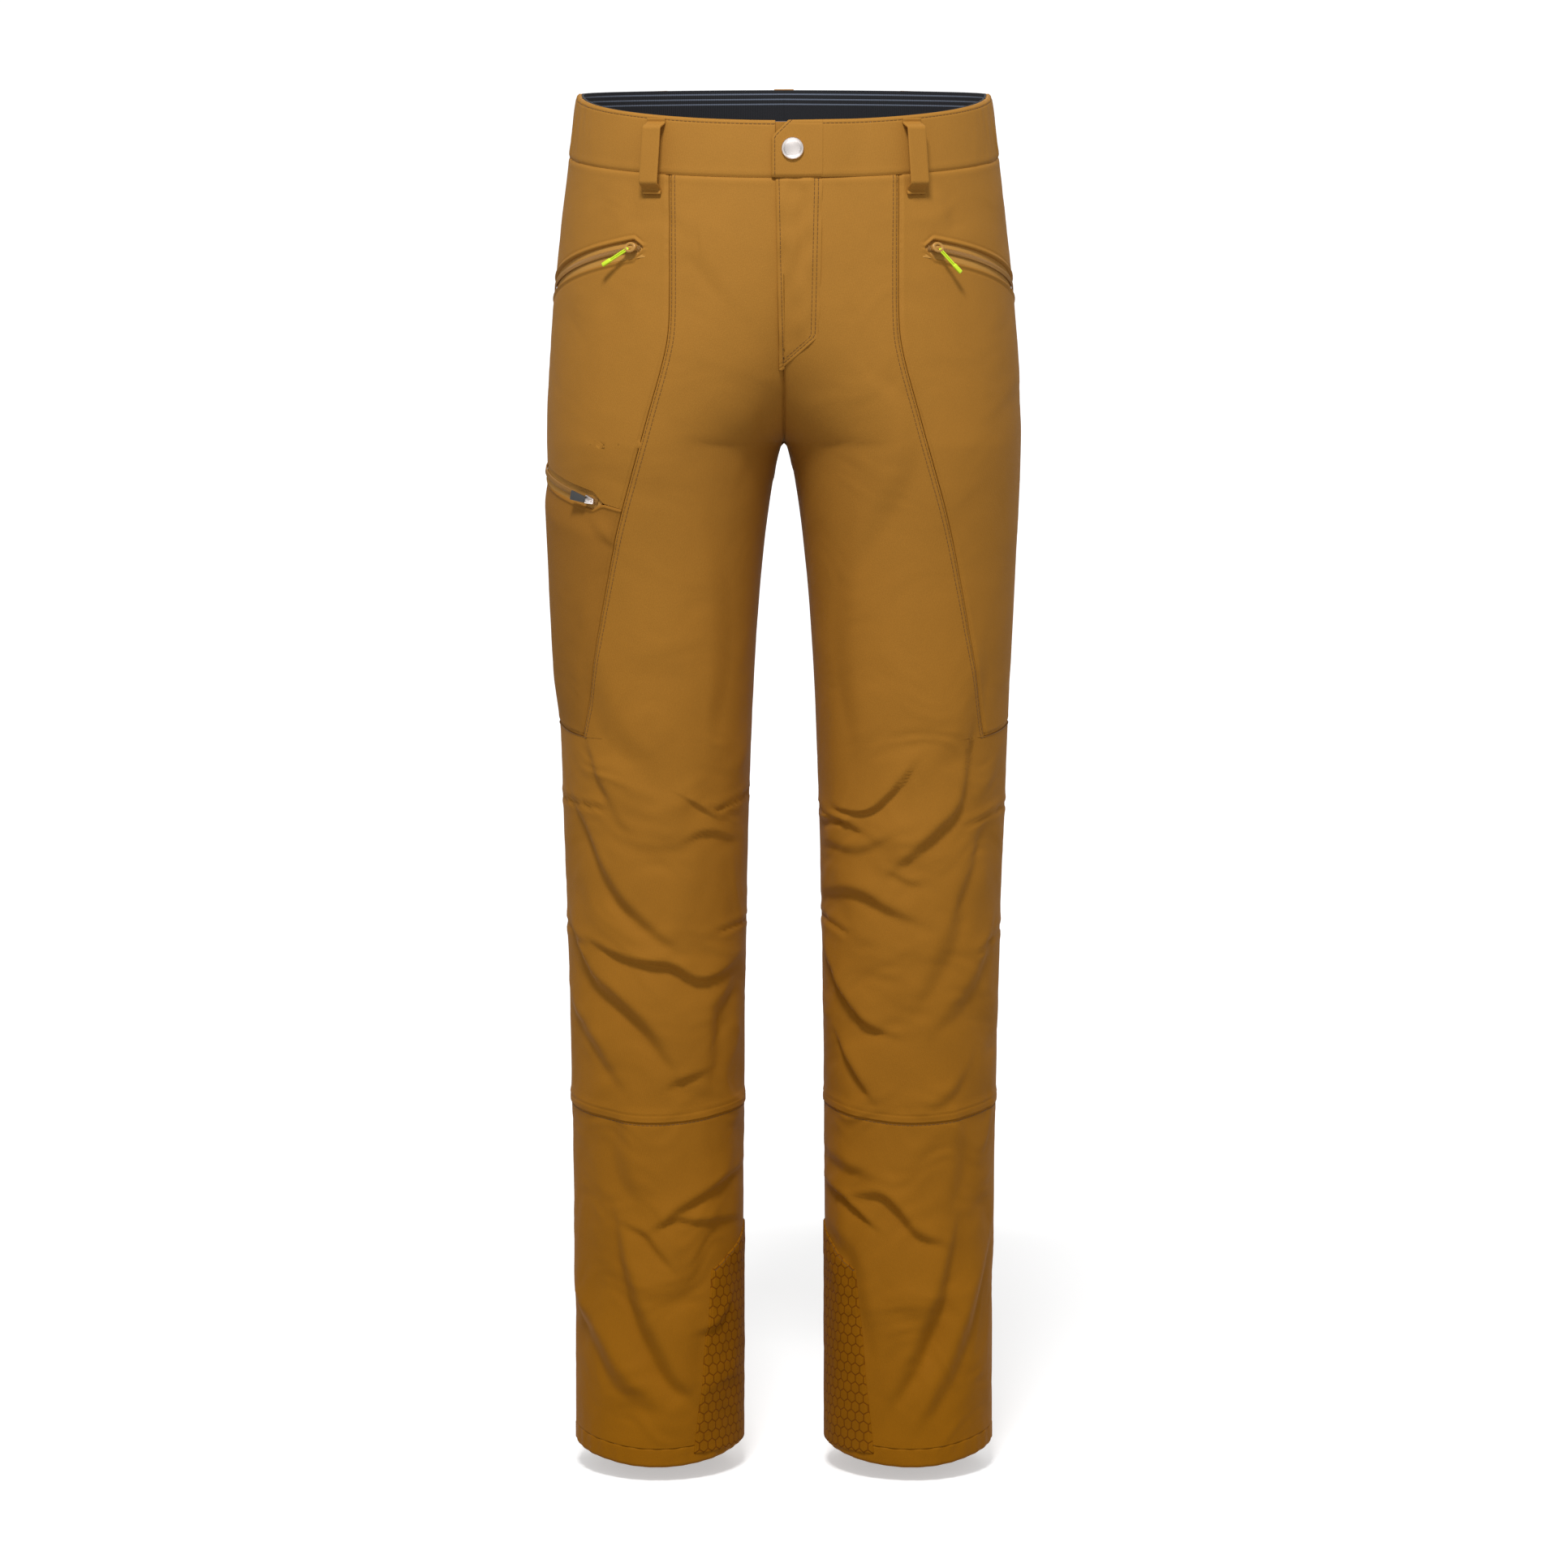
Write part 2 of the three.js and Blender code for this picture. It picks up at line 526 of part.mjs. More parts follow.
add('fly_pull', slab([[4, -1.6], [22, -2.8], [24, -1.4], [24, 1.4], [22, 2.8], [4, 1.6]], 1.2,
  flyFrame(FLY_SLIDER_LOW + SLIDER_HEIGHT + CLEAR)), FINISH.steel);
const underlapThick = 1.4;
add('fly_underlap', slab(rectangle(0, FLY_LENGTH + 4, -22, 20), underlapThick,
  flyFrame(-underlapThick - CLEAR)), FINISH.lining);

// ---- Panels ----------------------------------------------------------------------------
const levelsBetween = (top, bottom) => BODY_LEVELS.filter(z => z < top - 8 && z > bottom + 8);
const underBand = bandZ(0) - 2;
const atCentre = () => 0;
const atSide = () => SIDE_SEAM;
const atBack = () => 1;

// Height of a pocket zip at each way round, through its inner end, its middle and its outer end.
function zipLine(points) {
  const [a, b, c] = points;
  return way => a.z * (way - b.way) * (way - c.way) / ((a.way - b.way) * (a.way - c.way))
    + b.z * (way - a.way) * (way - c.way) / ((b.way - a.way) * (b.way - c.way))
    + c.z * (way - a.way) * (way - b.way) / ((c.way - a.way) * (c.way - b.way));
}

const zipPoint = (x, z) => ({ way: wayAt(x, z), z });
const HAND_ZIP = [zipPoint(across(0.577), above(0.4424)), { way: 0.36, z: above(0.491) },
  { way: 0.525, z: above(0.576) }];
const THIGH_ZIP = [zipPoint(across(0.76), below(0.0564)), zipPoint(across(0.9), below(0.0451)),
  { way: 0.525, z: below(0.0226) }];
const handZ = zipLine(HAND_ZIP);
const thighZ = zipLine(THIGH_ZIP);

// The gap left for a zip; the thigh pocket's opens like a wedge from the seam to the zip's end.
const OPENING = ZIP_WIDTH / 2 + CLEAR + 0.9;
const wedgeStart = panelSeam(THIGH_ZIP[0].z - 6);
const wedgeEnd = THIGH_ZIP[0].way - 0.018;
const garage = way => OPENING * clamp((way - wedgeStart) / (wedgeEnd - wedgeStart), 0, 1);

const arcOf = (side, points) => arcThrough(...points.map(({ way, z }) => skin(side, way, z)));

// Boxes and slabs that stick out this far on both sides of the cloth cut right through it.
const THROUGH = 14;
const BAG_OUTSIDE = -FABRIC - 2;
const BAG_INSIDE = BAG_OUTSIDE - POCKET_BAG;

for (const { side, name } of SIDES) {
  const left = side > 0;
  const bodyLevels = levelsBetween(underBand, shinZ(0.25));
  const sideLevels = levelsBetween(underBand, PANEL_END + PANEL_END_RISE);
  const beside = panel(side, panelSeam, () => SIDE_SEAM + 0.08, () => 8, panelEndZ, 7, sideLevels,
    -THROUGH, THROUGH, -SEAM_GAP - 0.8);
  const base = panel(side, atCentre, atSide, bandZ, shinZ, 14, bodyLevels);
  const flyOpening = new THREE.BoxGeometry(FLY_FOLD + 5.4, 120, 2 * FLY_LENGTH + 16)
    .translate((FLY_FOLD - 4.6) / 2, -120, flyBottom - 2 + FLY_LENGTH + 8);
  add(`front_panel_${name}`, left ? cut(base, beside, flyOpening) : cut(base, beside),
    FINISH.softshell);

  const arc = arcOf(side, HAND_ZIP);
  const opening = arcBar(arc, -4, arc.radius * arc.angle + 4, -THROUGH, THROUGH, 2 * OPENING);
  const sidePanel = left ? panel(side, panelSeam, atSide, bandZ, panelEndZ, 6, sideLevels)
    : panel(side, panelSeam, atSide, bandZ, way => thighZ(way) + garage(way), 11,
      levelsBetween(underBand, THIGH_ZIP[0].z + 24));
  add(`side_panel_${name}`, cut(sidePanel, opening), FINISH.softshell);
  arcZip(`hand_zip_${name}`, arc, { cord: true, length: PULL_END_LENGTH, rootWidth: 3,
    tipWidth: 3.3, finish: FINISH.neon, slider: FINISH.tape });
  add(`hand_pocket_bag_${name}`, panel(side, z => wayAt(across(0.582), z), () => SIDE_SEAM - 0.02,
    way => handZ(way) + 3, () => above(1), 5, [0.64, 0.76, 0.88].map(above), BAG_INSIDE, BAG_OUTSIDE),
  FINISH.lining);

  add(`back_yoke_${name}`, panel(side, atSide, atBack, bandZ, yokeZ, 7, [-YOKE_SIDE + 22]),
    FINISH.softshell);
  add(`back_panel_${name}`, panel(side, atSide, atBack, yokeZ, shinZ, 13,
    levelsBetween(-YOKE_BACK, shinZ(0.25))), FINISH.softshell);
  const calf = [0.74, 0.82, 0.9].map(below);
  add(`lower_leg_front_${name}`, panel(side, atCentre, atSide, shinZ, cuffZ, 12, calf), FINISH.softshell);
  add(`lower_leg_back_${name}`, panel(side, atSide, atBack, shinZ, cuffZ, 11, calf), FINISH.softshell);
  const hemPoint = (u, v, height) => raised(side, u, lerp(cuffZ(u) - SEAM_GAP / 2, hemZ(u), v), height);
  add(`hem_${name}`, wall(hemPoint, -FABRIC - 1, 0, steps(0, 1, 24).slice(0, -1), [0, 1], true),
    FINISH.softshell);

  const guardHalf = z => lerp(55, 71, clamp((below(0.7976) - z) / (0.2 * INSEAM), 0, 1));
  const guardEdge = z => wayAt(guardHalf(z), z);
  const guardTop = way => below(0.7763) - 30 * clamp(abs(way) / 0.13, 0, 1);
  add(`scuff_guard_${name}`, panel(side, z => -guardEdge(z), guardEdge, guardTop,
    () => hemZ(0) + 1, 10, [0.83, 0.89, 0.95].map(below), 1.1, 2.5, 0, true), FINISH.scuffFabric);
}

// ---- Thigh pocket on the wearer's right ------------------------------------------------
add('thigh_pocket_panel', panel(-1, panelSeam, atSide, way => thighZ(way) - garage(way), panelEndZ,
  11, levelsBetween(THIGH_ZIP[0].z - 8, PANEL_END + PANEL_END_RISE)), FINISH.pocketFabric);
const bagStart = z => wayAt(max(across(0.712), smooth(PANEL_SEAM, 'x', z)), z);
add('thigh_pocket_bag', panel(-1, bagStart, () => SIDE_SEAM - 0.02, way => thighZ(way) + 2,
  () => below(0.252), 5, [0.102, 0.152, 0.202].map(below), BAG_INSIDE, BAG_OUTSIDE), FINISH.lining);
arcZip('thigh_zip', arcOf(-1, THIGH_ZIP), { cord: false, length: 14, rootWidth: 4, tipWidth: 7.5,
  finish: FINISH.grey, slider: FINISH.steel });

export default trousers;
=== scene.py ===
# %% [markdown]
# # Softshell trousers
#
# A pair of mountain trousers stands as if someone wore them. The cloth is sewn from panels that
# meet in seams, and everything that opens is a zip or a snap. Each panel is made here as its own
# sheet of cloth over one shared body shape, so that neighbours always meet along their seam.

# %% Load the frame
import json
import math

import bpy
import numpy as np
from mathutils import Matrix, Vector, noise

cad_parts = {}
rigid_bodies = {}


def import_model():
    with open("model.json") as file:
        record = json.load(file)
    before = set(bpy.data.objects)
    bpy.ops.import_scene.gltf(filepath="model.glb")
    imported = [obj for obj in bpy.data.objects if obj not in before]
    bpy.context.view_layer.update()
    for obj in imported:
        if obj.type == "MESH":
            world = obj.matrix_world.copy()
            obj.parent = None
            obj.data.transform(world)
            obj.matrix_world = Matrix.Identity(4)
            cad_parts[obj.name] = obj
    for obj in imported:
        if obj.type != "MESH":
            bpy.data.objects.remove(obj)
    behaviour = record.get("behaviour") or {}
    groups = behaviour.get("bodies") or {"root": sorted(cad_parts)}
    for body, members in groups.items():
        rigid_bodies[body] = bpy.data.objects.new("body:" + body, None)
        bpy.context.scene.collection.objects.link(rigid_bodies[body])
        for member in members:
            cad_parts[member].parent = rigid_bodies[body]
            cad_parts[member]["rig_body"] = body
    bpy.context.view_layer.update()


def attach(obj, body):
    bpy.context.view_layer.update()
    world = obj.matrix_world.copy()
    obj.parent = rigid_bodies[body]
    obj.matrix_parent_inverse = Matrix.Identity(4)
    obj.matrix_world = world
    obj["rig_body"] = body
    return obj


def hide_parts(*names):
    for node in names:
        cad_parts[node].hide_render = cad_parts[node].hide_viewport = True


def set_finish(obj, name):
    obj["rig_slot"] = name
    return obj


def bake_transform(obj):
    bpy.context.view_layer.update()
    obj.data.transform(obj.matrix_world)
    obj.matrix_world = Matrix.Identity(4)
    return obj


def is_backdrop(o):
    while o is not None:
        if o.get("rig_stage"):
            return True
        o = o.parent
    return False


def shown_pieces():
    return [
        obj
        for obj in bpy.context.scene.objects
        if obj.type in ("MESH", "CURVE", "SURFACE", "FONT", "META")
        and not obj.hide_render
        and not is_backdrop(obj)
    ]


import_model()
bpy.ops.object.select_all(action="DESELECT")

# %% [markdown]
# ## Camera, floor and light
#
# The trousers are seen from the front, a little from above the knee, with a long lens that keeps
# the legs straight. The light is a large soft one above the waist, so the cloth is brightest at
# the top and every fold has a lit upper side and a shaded lower side. The cloth colour is also
# painted darker down the leg, a painted shade that adds to the fall of this light.

# %% Camera and floor
CAMERA_PLACE = Vector((0, -4.0, -0.12))
CAMERA_AIM = Vector((0, 0, -0.54))
FLOOR_Z = -1.0865

camera_data = bpy.data.cameras.new("camera")
camera_data.lens = 117
camera_data.sensor_width = 36
camera = bpy.data.objects.new("camera", camera_data)
camera.location = CAMERA_PLACE
camera.rotation_euler = (CAMERA_AIM - CAMERA_PLACE).to_track_quat("-Z", "Y").to_euler()
bpy.context.collection.objects.link(camera)
bpy.context.scene.camera = camera

sweep = [(-8.0, 0.0), (1.4, 0.0)]  # depth and height of a floor that curves up into a wall
sweep += [(1.4 + 1.2 * math.sin(a), 1.2 - 1.2 * math.cos(a)) for a in np.linspace(0.08, math.pi / 2, 20)]
sweep += [(2.6, 9.0)]
cove = bpy.data.meshes.new("floor")
cove.from_pydata([(x, y, FLOOR_Z + h) for y, h in sweep for x in (-9, 9)], [],
                 [(2 * k, 2 * k + 1, 2 * k + 3, 2 * k + 2) for k in range(len(sweep) - 1)])
floor = bpy.data.objects.new("floor", cove)
bpy.context.collection.objects.link(floor)
cove.polygons.foreach_set("use_smooth", np.ones(len(cove.polygons), bool))
floor_paint = bpy.data.materials.new("floor_paint")
floor_paint.use_nodes = True
paint = floor_paint.node_tree.nodes["Principled BSDF"]
paint.inputs["Base Color"].default_value = (0.86, 0.86, 0.86, 1)
paint.inputs["Roughness"].default_value = 1.0
paint.inputs["Specular IOR Level"].default_value = 0.0
paint.inputs["Emission Color"].default_value = (1, 1, 1, 1)
paint.inputs["Emission Strength"].default_value = 0.45
floor.data.materials.append(floor_paint)
floor.visible_diffuse = False  # the glow of the floor does not light the cloth
floor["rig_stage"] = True
print("camera at", tuple(CAMERA_PLACE), "floor at", FLOOR_Z)

# %% Studio light
def area_light(name, place, aim, size, power, colour=(1, 1, 1)):
    data = bpy.data.lights.new(name, "AREA")
    data.shape = "RECTANGLE"
    data.size, data.size_y = size
    data.energy = power
    data.color = colour
    lamp = bpy.data.objects.new(name, data)
    lamp.location = place
    lamp.rotation_euler = (Vector(aim) - Vector(place)).to_track_quat("-Z", "Y").to_euler()
    bpy.context.collection.objects.link(lamp)
    return lamp


area_light("key", (-0.25, -2.1, 2.4), (0, 0, -0.45), (0.8, 0.6), 94)
area_light("fill", (0.6, -3.4, -0.2), (0, 0, -0.6), (1.6, 1.6), 6)
area_light("back", (0.6, 2.0, 1.2), (0, 0, -0.4), (1.6, 1.2), 10)
world = bpy.data.worlds.new("studio")
world.use_nodes = True
air = world.node_tree
background = air.nodes["Background"]
seen = air.nodes.new("ShaderNodeLightPath")
level_of_air = air.nodes.new("ShaderNodeMix")  # white to look at, softer as a light
level_of_air.inputs["A"].default_value = 0.42
level_of_air.inputs["B"].default_value = 1.0
air.links.new(seen.outputs["Is Camera Ray"], level_of_air.inputs["Factor"])
air.links.new(level_of_air.outputs["Result"], background.inputs["Strength"])
background.inputs["Color"].default_value = (1, 1, 1, 1)
bpy.context.scene.world = world
bpy.context.scene.view_settings.view_transform = "Standard"
print("three soft lights and a pale room")

# %% [markdown]
# ## The body shape
#
# Trousers hang from the waist over the hips and then fall as two tubes. The shape is a stack of
# outlines, each two half ellipses: one for the front, one for the back. Above the crotch the two
# sides run into each other over the middle. A point on the cloth is named by its side (1 is the
# wearer's left), its way round (0 at the middle or inseam, 0.5 at the outer side, 1 at the back)
# and its height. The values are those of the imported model, in metres.

# %% Outlines
RISE = 0.269
INSEAM = 0.7974
WAIST_HALF, HIP_HALF, KNEE_HALF, HEM_HALF = 0.161, 0.1855, 0.170, 0.1663
WAIST_DEPTH, SEAT_DEPTH = 0.112, 0.145
LEG_GAP = 0.0335


def mix(a, b, t):
    return a + (b - a) * t


STATIONS = np.array([  # height, half width, depth in front, depth behind, lean
    (0.014, WAIST_HALF - 0.001, WAIST_DEPTH - 0.001, WAIST_DEPTH - 0.001, 0),
    (0, WAIST_HALF, WAIST_DEPTH, WAIST_DEPTH, 0),
    (-RISE * 0.223, mix(WAIST_HALF, HIP_HALF, 0.31), 0.116, 0.122, 0),
    (-RISE * 0.446, mix(WAIST_HALF, HIP_HALF, 0.6), 0.119, 0.135, 0),
    (-RISE * 0.743, mix(WAIST_HALF, HIP_HALF, 0.9), 0.118, SEAT_DEPTH, 0),
    (-RISE, HIP_HALF, 0.109, SEAT_DEPTH - 0.01, -0.001),
    (-RISE - INSEAM * 0.121, mix(HIP_HALF, KNEE_HALF, 0.24), 0.092, 0.108, -0.004),
    (-RISE - INSEAM * 0.291, mix(HIP_HALF, KNEE_HALF, 0.63), 0.082, 0.086, -0.008),
    (-RISE - INSEAM * 0.531, KNEE_HALF, 0.075, 0.076, -0.004),
    (-RISE - INSEAM * 0.77, mix(KNEE_HALF, HEM_HALF, 0.8), 0.071, 0.073, 0.002),
    (-RISE - INSEAM * 1.03, HEM_HALF, 0.072, 0.075, 0.006),
])


def smooth(heights, values, z):
    """A smooth curve through points with falling heights, read at z."""
    z = np.clip(z, heights[-1], heights[0])
    i = np.clip(np.searchsorted(-heights, -z, side="right") - 1, 0, len(heights) - 2)
    place = np.arange(len(heights))
    before, after = np.maximum(place - 1, 0), np.minimum(place + 1, len(heights) - 1)
    slope = (values[after] - values[before]) / (heights[after] - heights[before])
    h = heights[i + 1] - heights[i]
    t = (z - heights[i]) / h
    return ((2 * t**3 - 3 * t * t + 1) * values[i] + (t**3 - 2 * t * t + t) * h * slope[i]
            + (3 * t * t - 2 * t**3) * values[i + 1] + (t**3 - t * t) * h * slope[i + 1])


def level(z):
    half, front, back, lean = (smooth(STATIONS[:, 0], STATIONS[:, k], z) for k in (1, 2, 3, 4))
    rise = np.maximum(0, z + RISE)
    gap = LEG_GAP * (1 - np.exp(np.minimum(0, z + RISE) / 0.2)) ** 0.7
    middle = (half + gap) / 2
    front_centre = middle * np.maximum(0, 1 - rise / 0.25) ** 1.6
    back_centre = middle * np.maximum(0, 1 - rise / 0.275) ** 1.1
    front_start = np.where(rise > 0, np.arccos(np.minimum(1, front_centre / (half - front_centre))), 0)
    back_start = np.where(rise > 0, np.arccos(np.minimum(1, back_centre / (half - back_centre))), 0)
    return half, front, back, lean, front_centre, back_centre, front_start, back_start


def skin(side, way, z):
    """Points of the bare body shape."""
    way = np.where(way < 0, way + 1, np.minimum(way, 1 - 1e-9))
    half, front, back, lean, front_centre, back_centre, front_start, back_start = level(z)
    in_front = way <= 0.5
    centre = np.where(in_front, front_centre, back_centre)
    turn = np.where(in_front, front_start + (math.pi - front_start) * 2 * way,
                    math.pi + (math.pi - back_start) * (2 * way - 1))
    x = centre - (half - centre) * np.cos(turn)
    y = lean - np.where(in_front, front, back) * np.sin(turn)
    return np.stack([side * x, y, z + 0 * way], axis=-1)


def outward(side, way, z):
    """Directions away from the cloth."""
    low, high = way - 0.004, way + 0.004
    joined = z < -RISE
    low = np.where((way >= 0) & (low < 0) & ~joined, 0.0, low)
    high = np.where((high > 1) & ~joined, 1.0, high)
    high = np.where(high > 1, high - 1, high)
    across = skin(side, high, z) - skin(side, low, z)
    down = skin(side, way, z - 0.002) - skin(side, way, z + 0.002)
    n = np.cross(across, down) * -side
    return n / np.linalg.norm(n, axis=-1, keepdims=True)


def way_at(x, z):
    """The way round at which the front lies x away from the middle."""
    half, _, _, _, front_centre, _, front_start, _ = level(np.asarray(z, float))
    turn = np.arccos(np.clip((front_centre - np.abs(x)) / (half - front_centre), -1, 1))
    return np.maximum(0, (turn - front_start) / (math.pi - front_start) / 2)


print("waist", 2 * WAIST_HALF, "m wide, legs reach", round(-RISE - INSEAM, 3))

# %% [markdown]
# ## Seam lines
#
# The heights of the waistband, yoke, shin seam and hem change as they go round, because the
# waist dips in front and the hem dips over the shoe. Each is a short formula of the way round.

# %% Seam heights
SIDE_SEAM = 0.54
BAND_HEIGHT, TOP_DIP, BAND_DIP, BACK_RISE = 0.048, 0.023, 0.0184, 0.006


def tilt(way, dip):
    return np.where(way < 0.5, dip, BACK_RISE) * np.cos(math.pi * way)


def top_z(way):
    return -tilt(way, TOP_DIP)


def band_z(way):
    return -BAND_HEIGHT - tilt(way, BAND_DIP)


def shin_z(way):
    return -0.7905 - 0.0077 * np.sin(2 * math.pi * way) ** 2


def hem_z(way):
    return -RISE - INSEAM - np.where((way > 0) & (way < 0.5), 0.008 * np.sin(2 * math.pi * way) ** 2, 0)


def cuff_z(way):
    return hem_z(way) + 0.015


def yoke_z(way):
    return mix(-0.092, -0.122, (way - SIDE_SEAM) / (1 - SIDE_SEAM))


THIGH_SEAM = np.array([(-0.0269, 0.088), (-0.1614, 0.0876), (-0.1937, 0.090), (-0.251, 0.1054),
                       (-0.3448, 0.1305), (-0.4971, 0.1575)])
SEAM_END = THIGH_SEAM[-1, 0]


def thigh_seam(z):
    return way_at(smooth(THIGH_SEAM[:, 0], THIGH_SEAM[:, 1], z), z)


def seam_end_z(way):
    return SEAM_END + 0.009 * np.clip((way - thigh_seam(SEAM_END)) / 0.12, 0, 1)


def through(points):
    """A curve of height over way round through three points."""
    (a, az), (b, bz), (c, cz) = points

    def height(w):
        first = az * (w - b) * (w - c) / ((a - b) * (a - c))
        second = bz * (w - a) * (w - c) / ((b - a) * (b - c))
        return first + second + cz * (w - a) * (w - b) / ((c - a) * (c - b))

    return height


HAND_ZIP = [(float(way_at(0.107, -0.119)), -0.119), (0.36, -0.1321), (0.525, -0.155)]
THIGH_ZIP = [(float(way_at(0.141, -0.314)), -0.314), (float(way_at(0.167, -0.305)), -0.305), (0.525, -0.287)]
hand_z, thigh_z = through(HAND_ZIP), through(THIGH_ZIP)
print("hand pocket zips start", round(HAND_ZIP[0][0], 3), "of the way round")

# %% [markdown]
# ## Folds
#
# Cloth that hangs from the waist and is full at the knee falls into folds. A fold has a round
# crest, one gentle side and one steep side, and it fades at both ends. Simulating a garment that
# lands on exactly these folds is slow and never repeats, so each fold is drawn as one stroke:
# a few points, a width, a height, and the side that slopes gently. The strokes push the cloth
# in and out along its own normal.

# %% Fold strokes
MM = 0.001
AROUND = 0.47  # metres of cloth in one turn of a leg

# Each fold is (points, drop, steep width, gentle width, recovery width, steep side), all in mm.
# Points are distances from the middle and heights. The line is the crest. On its gentle side the
# cloth slopes away slowly; on the steep side it drops, then climbs back over the recovery width.
RIGHT_FRONT = [
    ([(150, -655), (120, -667), (88, -671), (64, -684), (36, -673)], 4.6, 5, 15, 24, "down"),
    ([(167, -638), (156, -662), (146, -680), (120, -702), (100, -724), (83, -754)], 5.6, 15, 24, 20, "out"),
    ([(162, -545), (147, -575), (127, -612), (104, -637), (84, -656)], 4.4, 13, 30, 13, "out"),
    ([(152, -500), (139, -530), (125, -558)], 2.2, 8, 22, 9, "out"),
    ([(77, -540), (64, -548), (53, -558)], 1.8, 5, 12, 8, "down"),
    ([(80, -576), (60, -568), (36, -577)], 2.2, 5, 14, 18, "down"),
    ([(170, -690), (149, -728), (124, -768)], 3.2, 16, 20, 18, "out"),
    ([(38, -690), (57, -706), (61, -735), (62, -766)], 3.0, 20, 18, 22, "in"),
    ([(60, -756), (78, -761), (94, -770)], 2.2, 7, 12, 9, "down"),
    ([(124, -794), (117, -830), (109, -860)], 2.8, 22, 16, 24, "out"),
    ([(127, -880), (119, -912), (108, -945), (97, -970), (84, -998), (72, -1014)], 6.4, 18, 26, 16, "out"),
    ([(168, -920), (147, -966), (124, -1000), (94, -1024)], 4.4, 22, 14, 26, "out"),
    ([(102, -881), (86, -873), (68, -876), (36, -880)], 2.6, 6, 10, 16, "down"),
    ([(99, -879), (86, -866), (66, -855), (48, -845), (32, -836)], 3.2, 9, 12, 8, "down"),
    ([(126, -878), (108, -885), (98, -898), (85, -916)], 2.4, 6, 16, 9, "down"),
    ([(70, -966), (54, -960), (43, -944)], 2.0, 8, 8, 14, "down"),
    ([(146, -410), (128, -470), (104, -510)], 2.2, 26, 30, 30, "out"),
    ([(64, -330), (58, -420), (62, -500)], 1.6, 24, 30, 30, "in"),
]
LEFT_FRONT = [
    ([(36, -550), (62, -552), (82, -536), (98, -516)], 3.2, 5, 16, 9, "down"),
    ([(28, -563), (43, -560), (62, -569)], 2.8, 5, 8, 8, "down"),
    ([(34, -579), (56, -581), (82, -570)], 2.0, 8, 10, 12, "down"),
    ([(143, -496), (134, -544), (118, -563), (100, -580), (84, -596)], 4.4, 10, 18, 16, "out"),
    ([(82, -599), (94, -604), (108, -610)], 1.8, 5, 8, 8, "down"),
    ([(26, -624), (44, -613), (62, -614), (80, -624), (103, -636)], 4.2, 12, 16, 16, "down"),
    ([(26, -648), (36, -672), (50, -700), (65, -718), (82, -726)], 5.2, 9, 18, 12, "in"),
    ([(42, -733), (53, -752), (69, -778)], 4.2, 8, 12, 8, "in"),
    ([(134, -625), (118, -655), (100, -702)], 3.2, 20, 20, 20, "out"),
    ([(152, -570), (137, -606), (129, -634)], 2.8, 12, 14, 9, "out"),
    ([(160, -650), (140, -690), (116, -722)], 3.0, 18, 20, 20, "out"),
    ([(142, -756), (130, -772), (112, -786)], 1.8, 10, 12, 10, "out"),
    ([(28, -824), (48, -831), (74, -841)], 2.2, 12, 14, 12, "down"),
    ([(28, -851), (44, -858), (56, -868), (71, -881)], 4.0, 6, 10, 9, "down"),
    ([(52, -858), (76, -854), (92, -866), (106, -884), (124, -893)], 4.4, 9, 14, 20, "down"),
    ([(130, -886), (119, -925), (106, -960), (94, -990), (80, -1022)], 6.4, 19, 26, 14, "out"),
    ([(163, -890), (144, -948), (125, -995), (106, -1034)], 4.4, 21, 14, 26, "out"),
    ([(132, -792), (130, -830), (127, -866)], 2.4, 20, 16, 24, "out"),
    ([(34, -880), (58, -900), (70, -940), (76, -990)], 2.2, 20, 20, 24, "in"),
    ([(150, -420), (134, -480), (112, -512)], 2.2, 26, 30, 30, "out"),
    ([(60, -330), (56, -420), (60, -500)], 1.6, 24, 30, 30, "in"),
]
# The back is not a mirror of the front: the seat is smooth and the hollow of the knee is creased.
BACK = [  # points as (way round, height)
    ([(0.6, -600), (0.7, -612), (0.84, -602)], 3.6, 8, 18, 16, "down"),
    ([(0.58, -634), (0.7, -650), (0.82, -638), (0.92, -612)], 4.6, 9, 18, 18, "down"),
    ([(0.62, -688), (0.74, -694), (0.88, -676)], 3.6, 8, 16, 18, "down"),
    ([(0.57, -700), (0.66, -735), (0.76, -756)], 3.6, 14, 20, 20, "down"),
    ([(0.95, -690), (0.86, -742), (0.74, -786)], 4.0, 13, 20, 20, "down"),
    ([(0.6, -858), (0.7, -900), (0.84, -934)], 4.2, 14, 20, 20, "down"),
    ([(0.92, -862), (0.84, -940), (0.72, -1004)], 4.4, 18, 24, 20, "down"),
    ([(0.58, -930), (0.66, -985), (0.78, -1022)], 3.6, 16, 20, 20, "down"),
    ([(0.975, -292), (0.88, -312), (0.76, -320)], 4.0, 14, 26, 26, "down"),
    ([(0.975, -320), (0.9, -356), (0.8, -392)], 3.4, 16, 26, 26, "down"),
    ([(0.6, -330), (0.7, -352), (0.8, -350)], 2.2, 16, 24, 24, "down"),
    ([(0.62, -430), (0.68, -500), (0.74, -566)], 2.6, 26, 34, 34, "down"),
    ([(0.52, -560), (0.55, -610), (0.6, -650)], 2.6, 12, 20, 20, "down"),
]
# Hips, fly and crotch, in plain distances across the front.
TORSO = [
    ([(-88, -84), (-66, -112), (-44, -142), (-10, -188)], 1.0, 16, 30, 26, "down"),
    ([(62, -220), (84, -246), (84, -280), (60, -330), (36, -380)], 1.8, 20, 40, 30, "down"),
    ([(-22, -238), (-30, -262), (-40, -300)], 1.0, 16, 26, 26, "down"),
    ([(-122, -70), (-126, -92), (-130, -112)], 0.8, 12, 20, 20, "out"),
    ([(114, -70), (119, -92), (122, -112)], 0.8, 12, 20, 20, "out"),
    ([(-148, -318), (-138, -336), (-128, -348)], 1.2, 6, 12, 12, "down"),
]


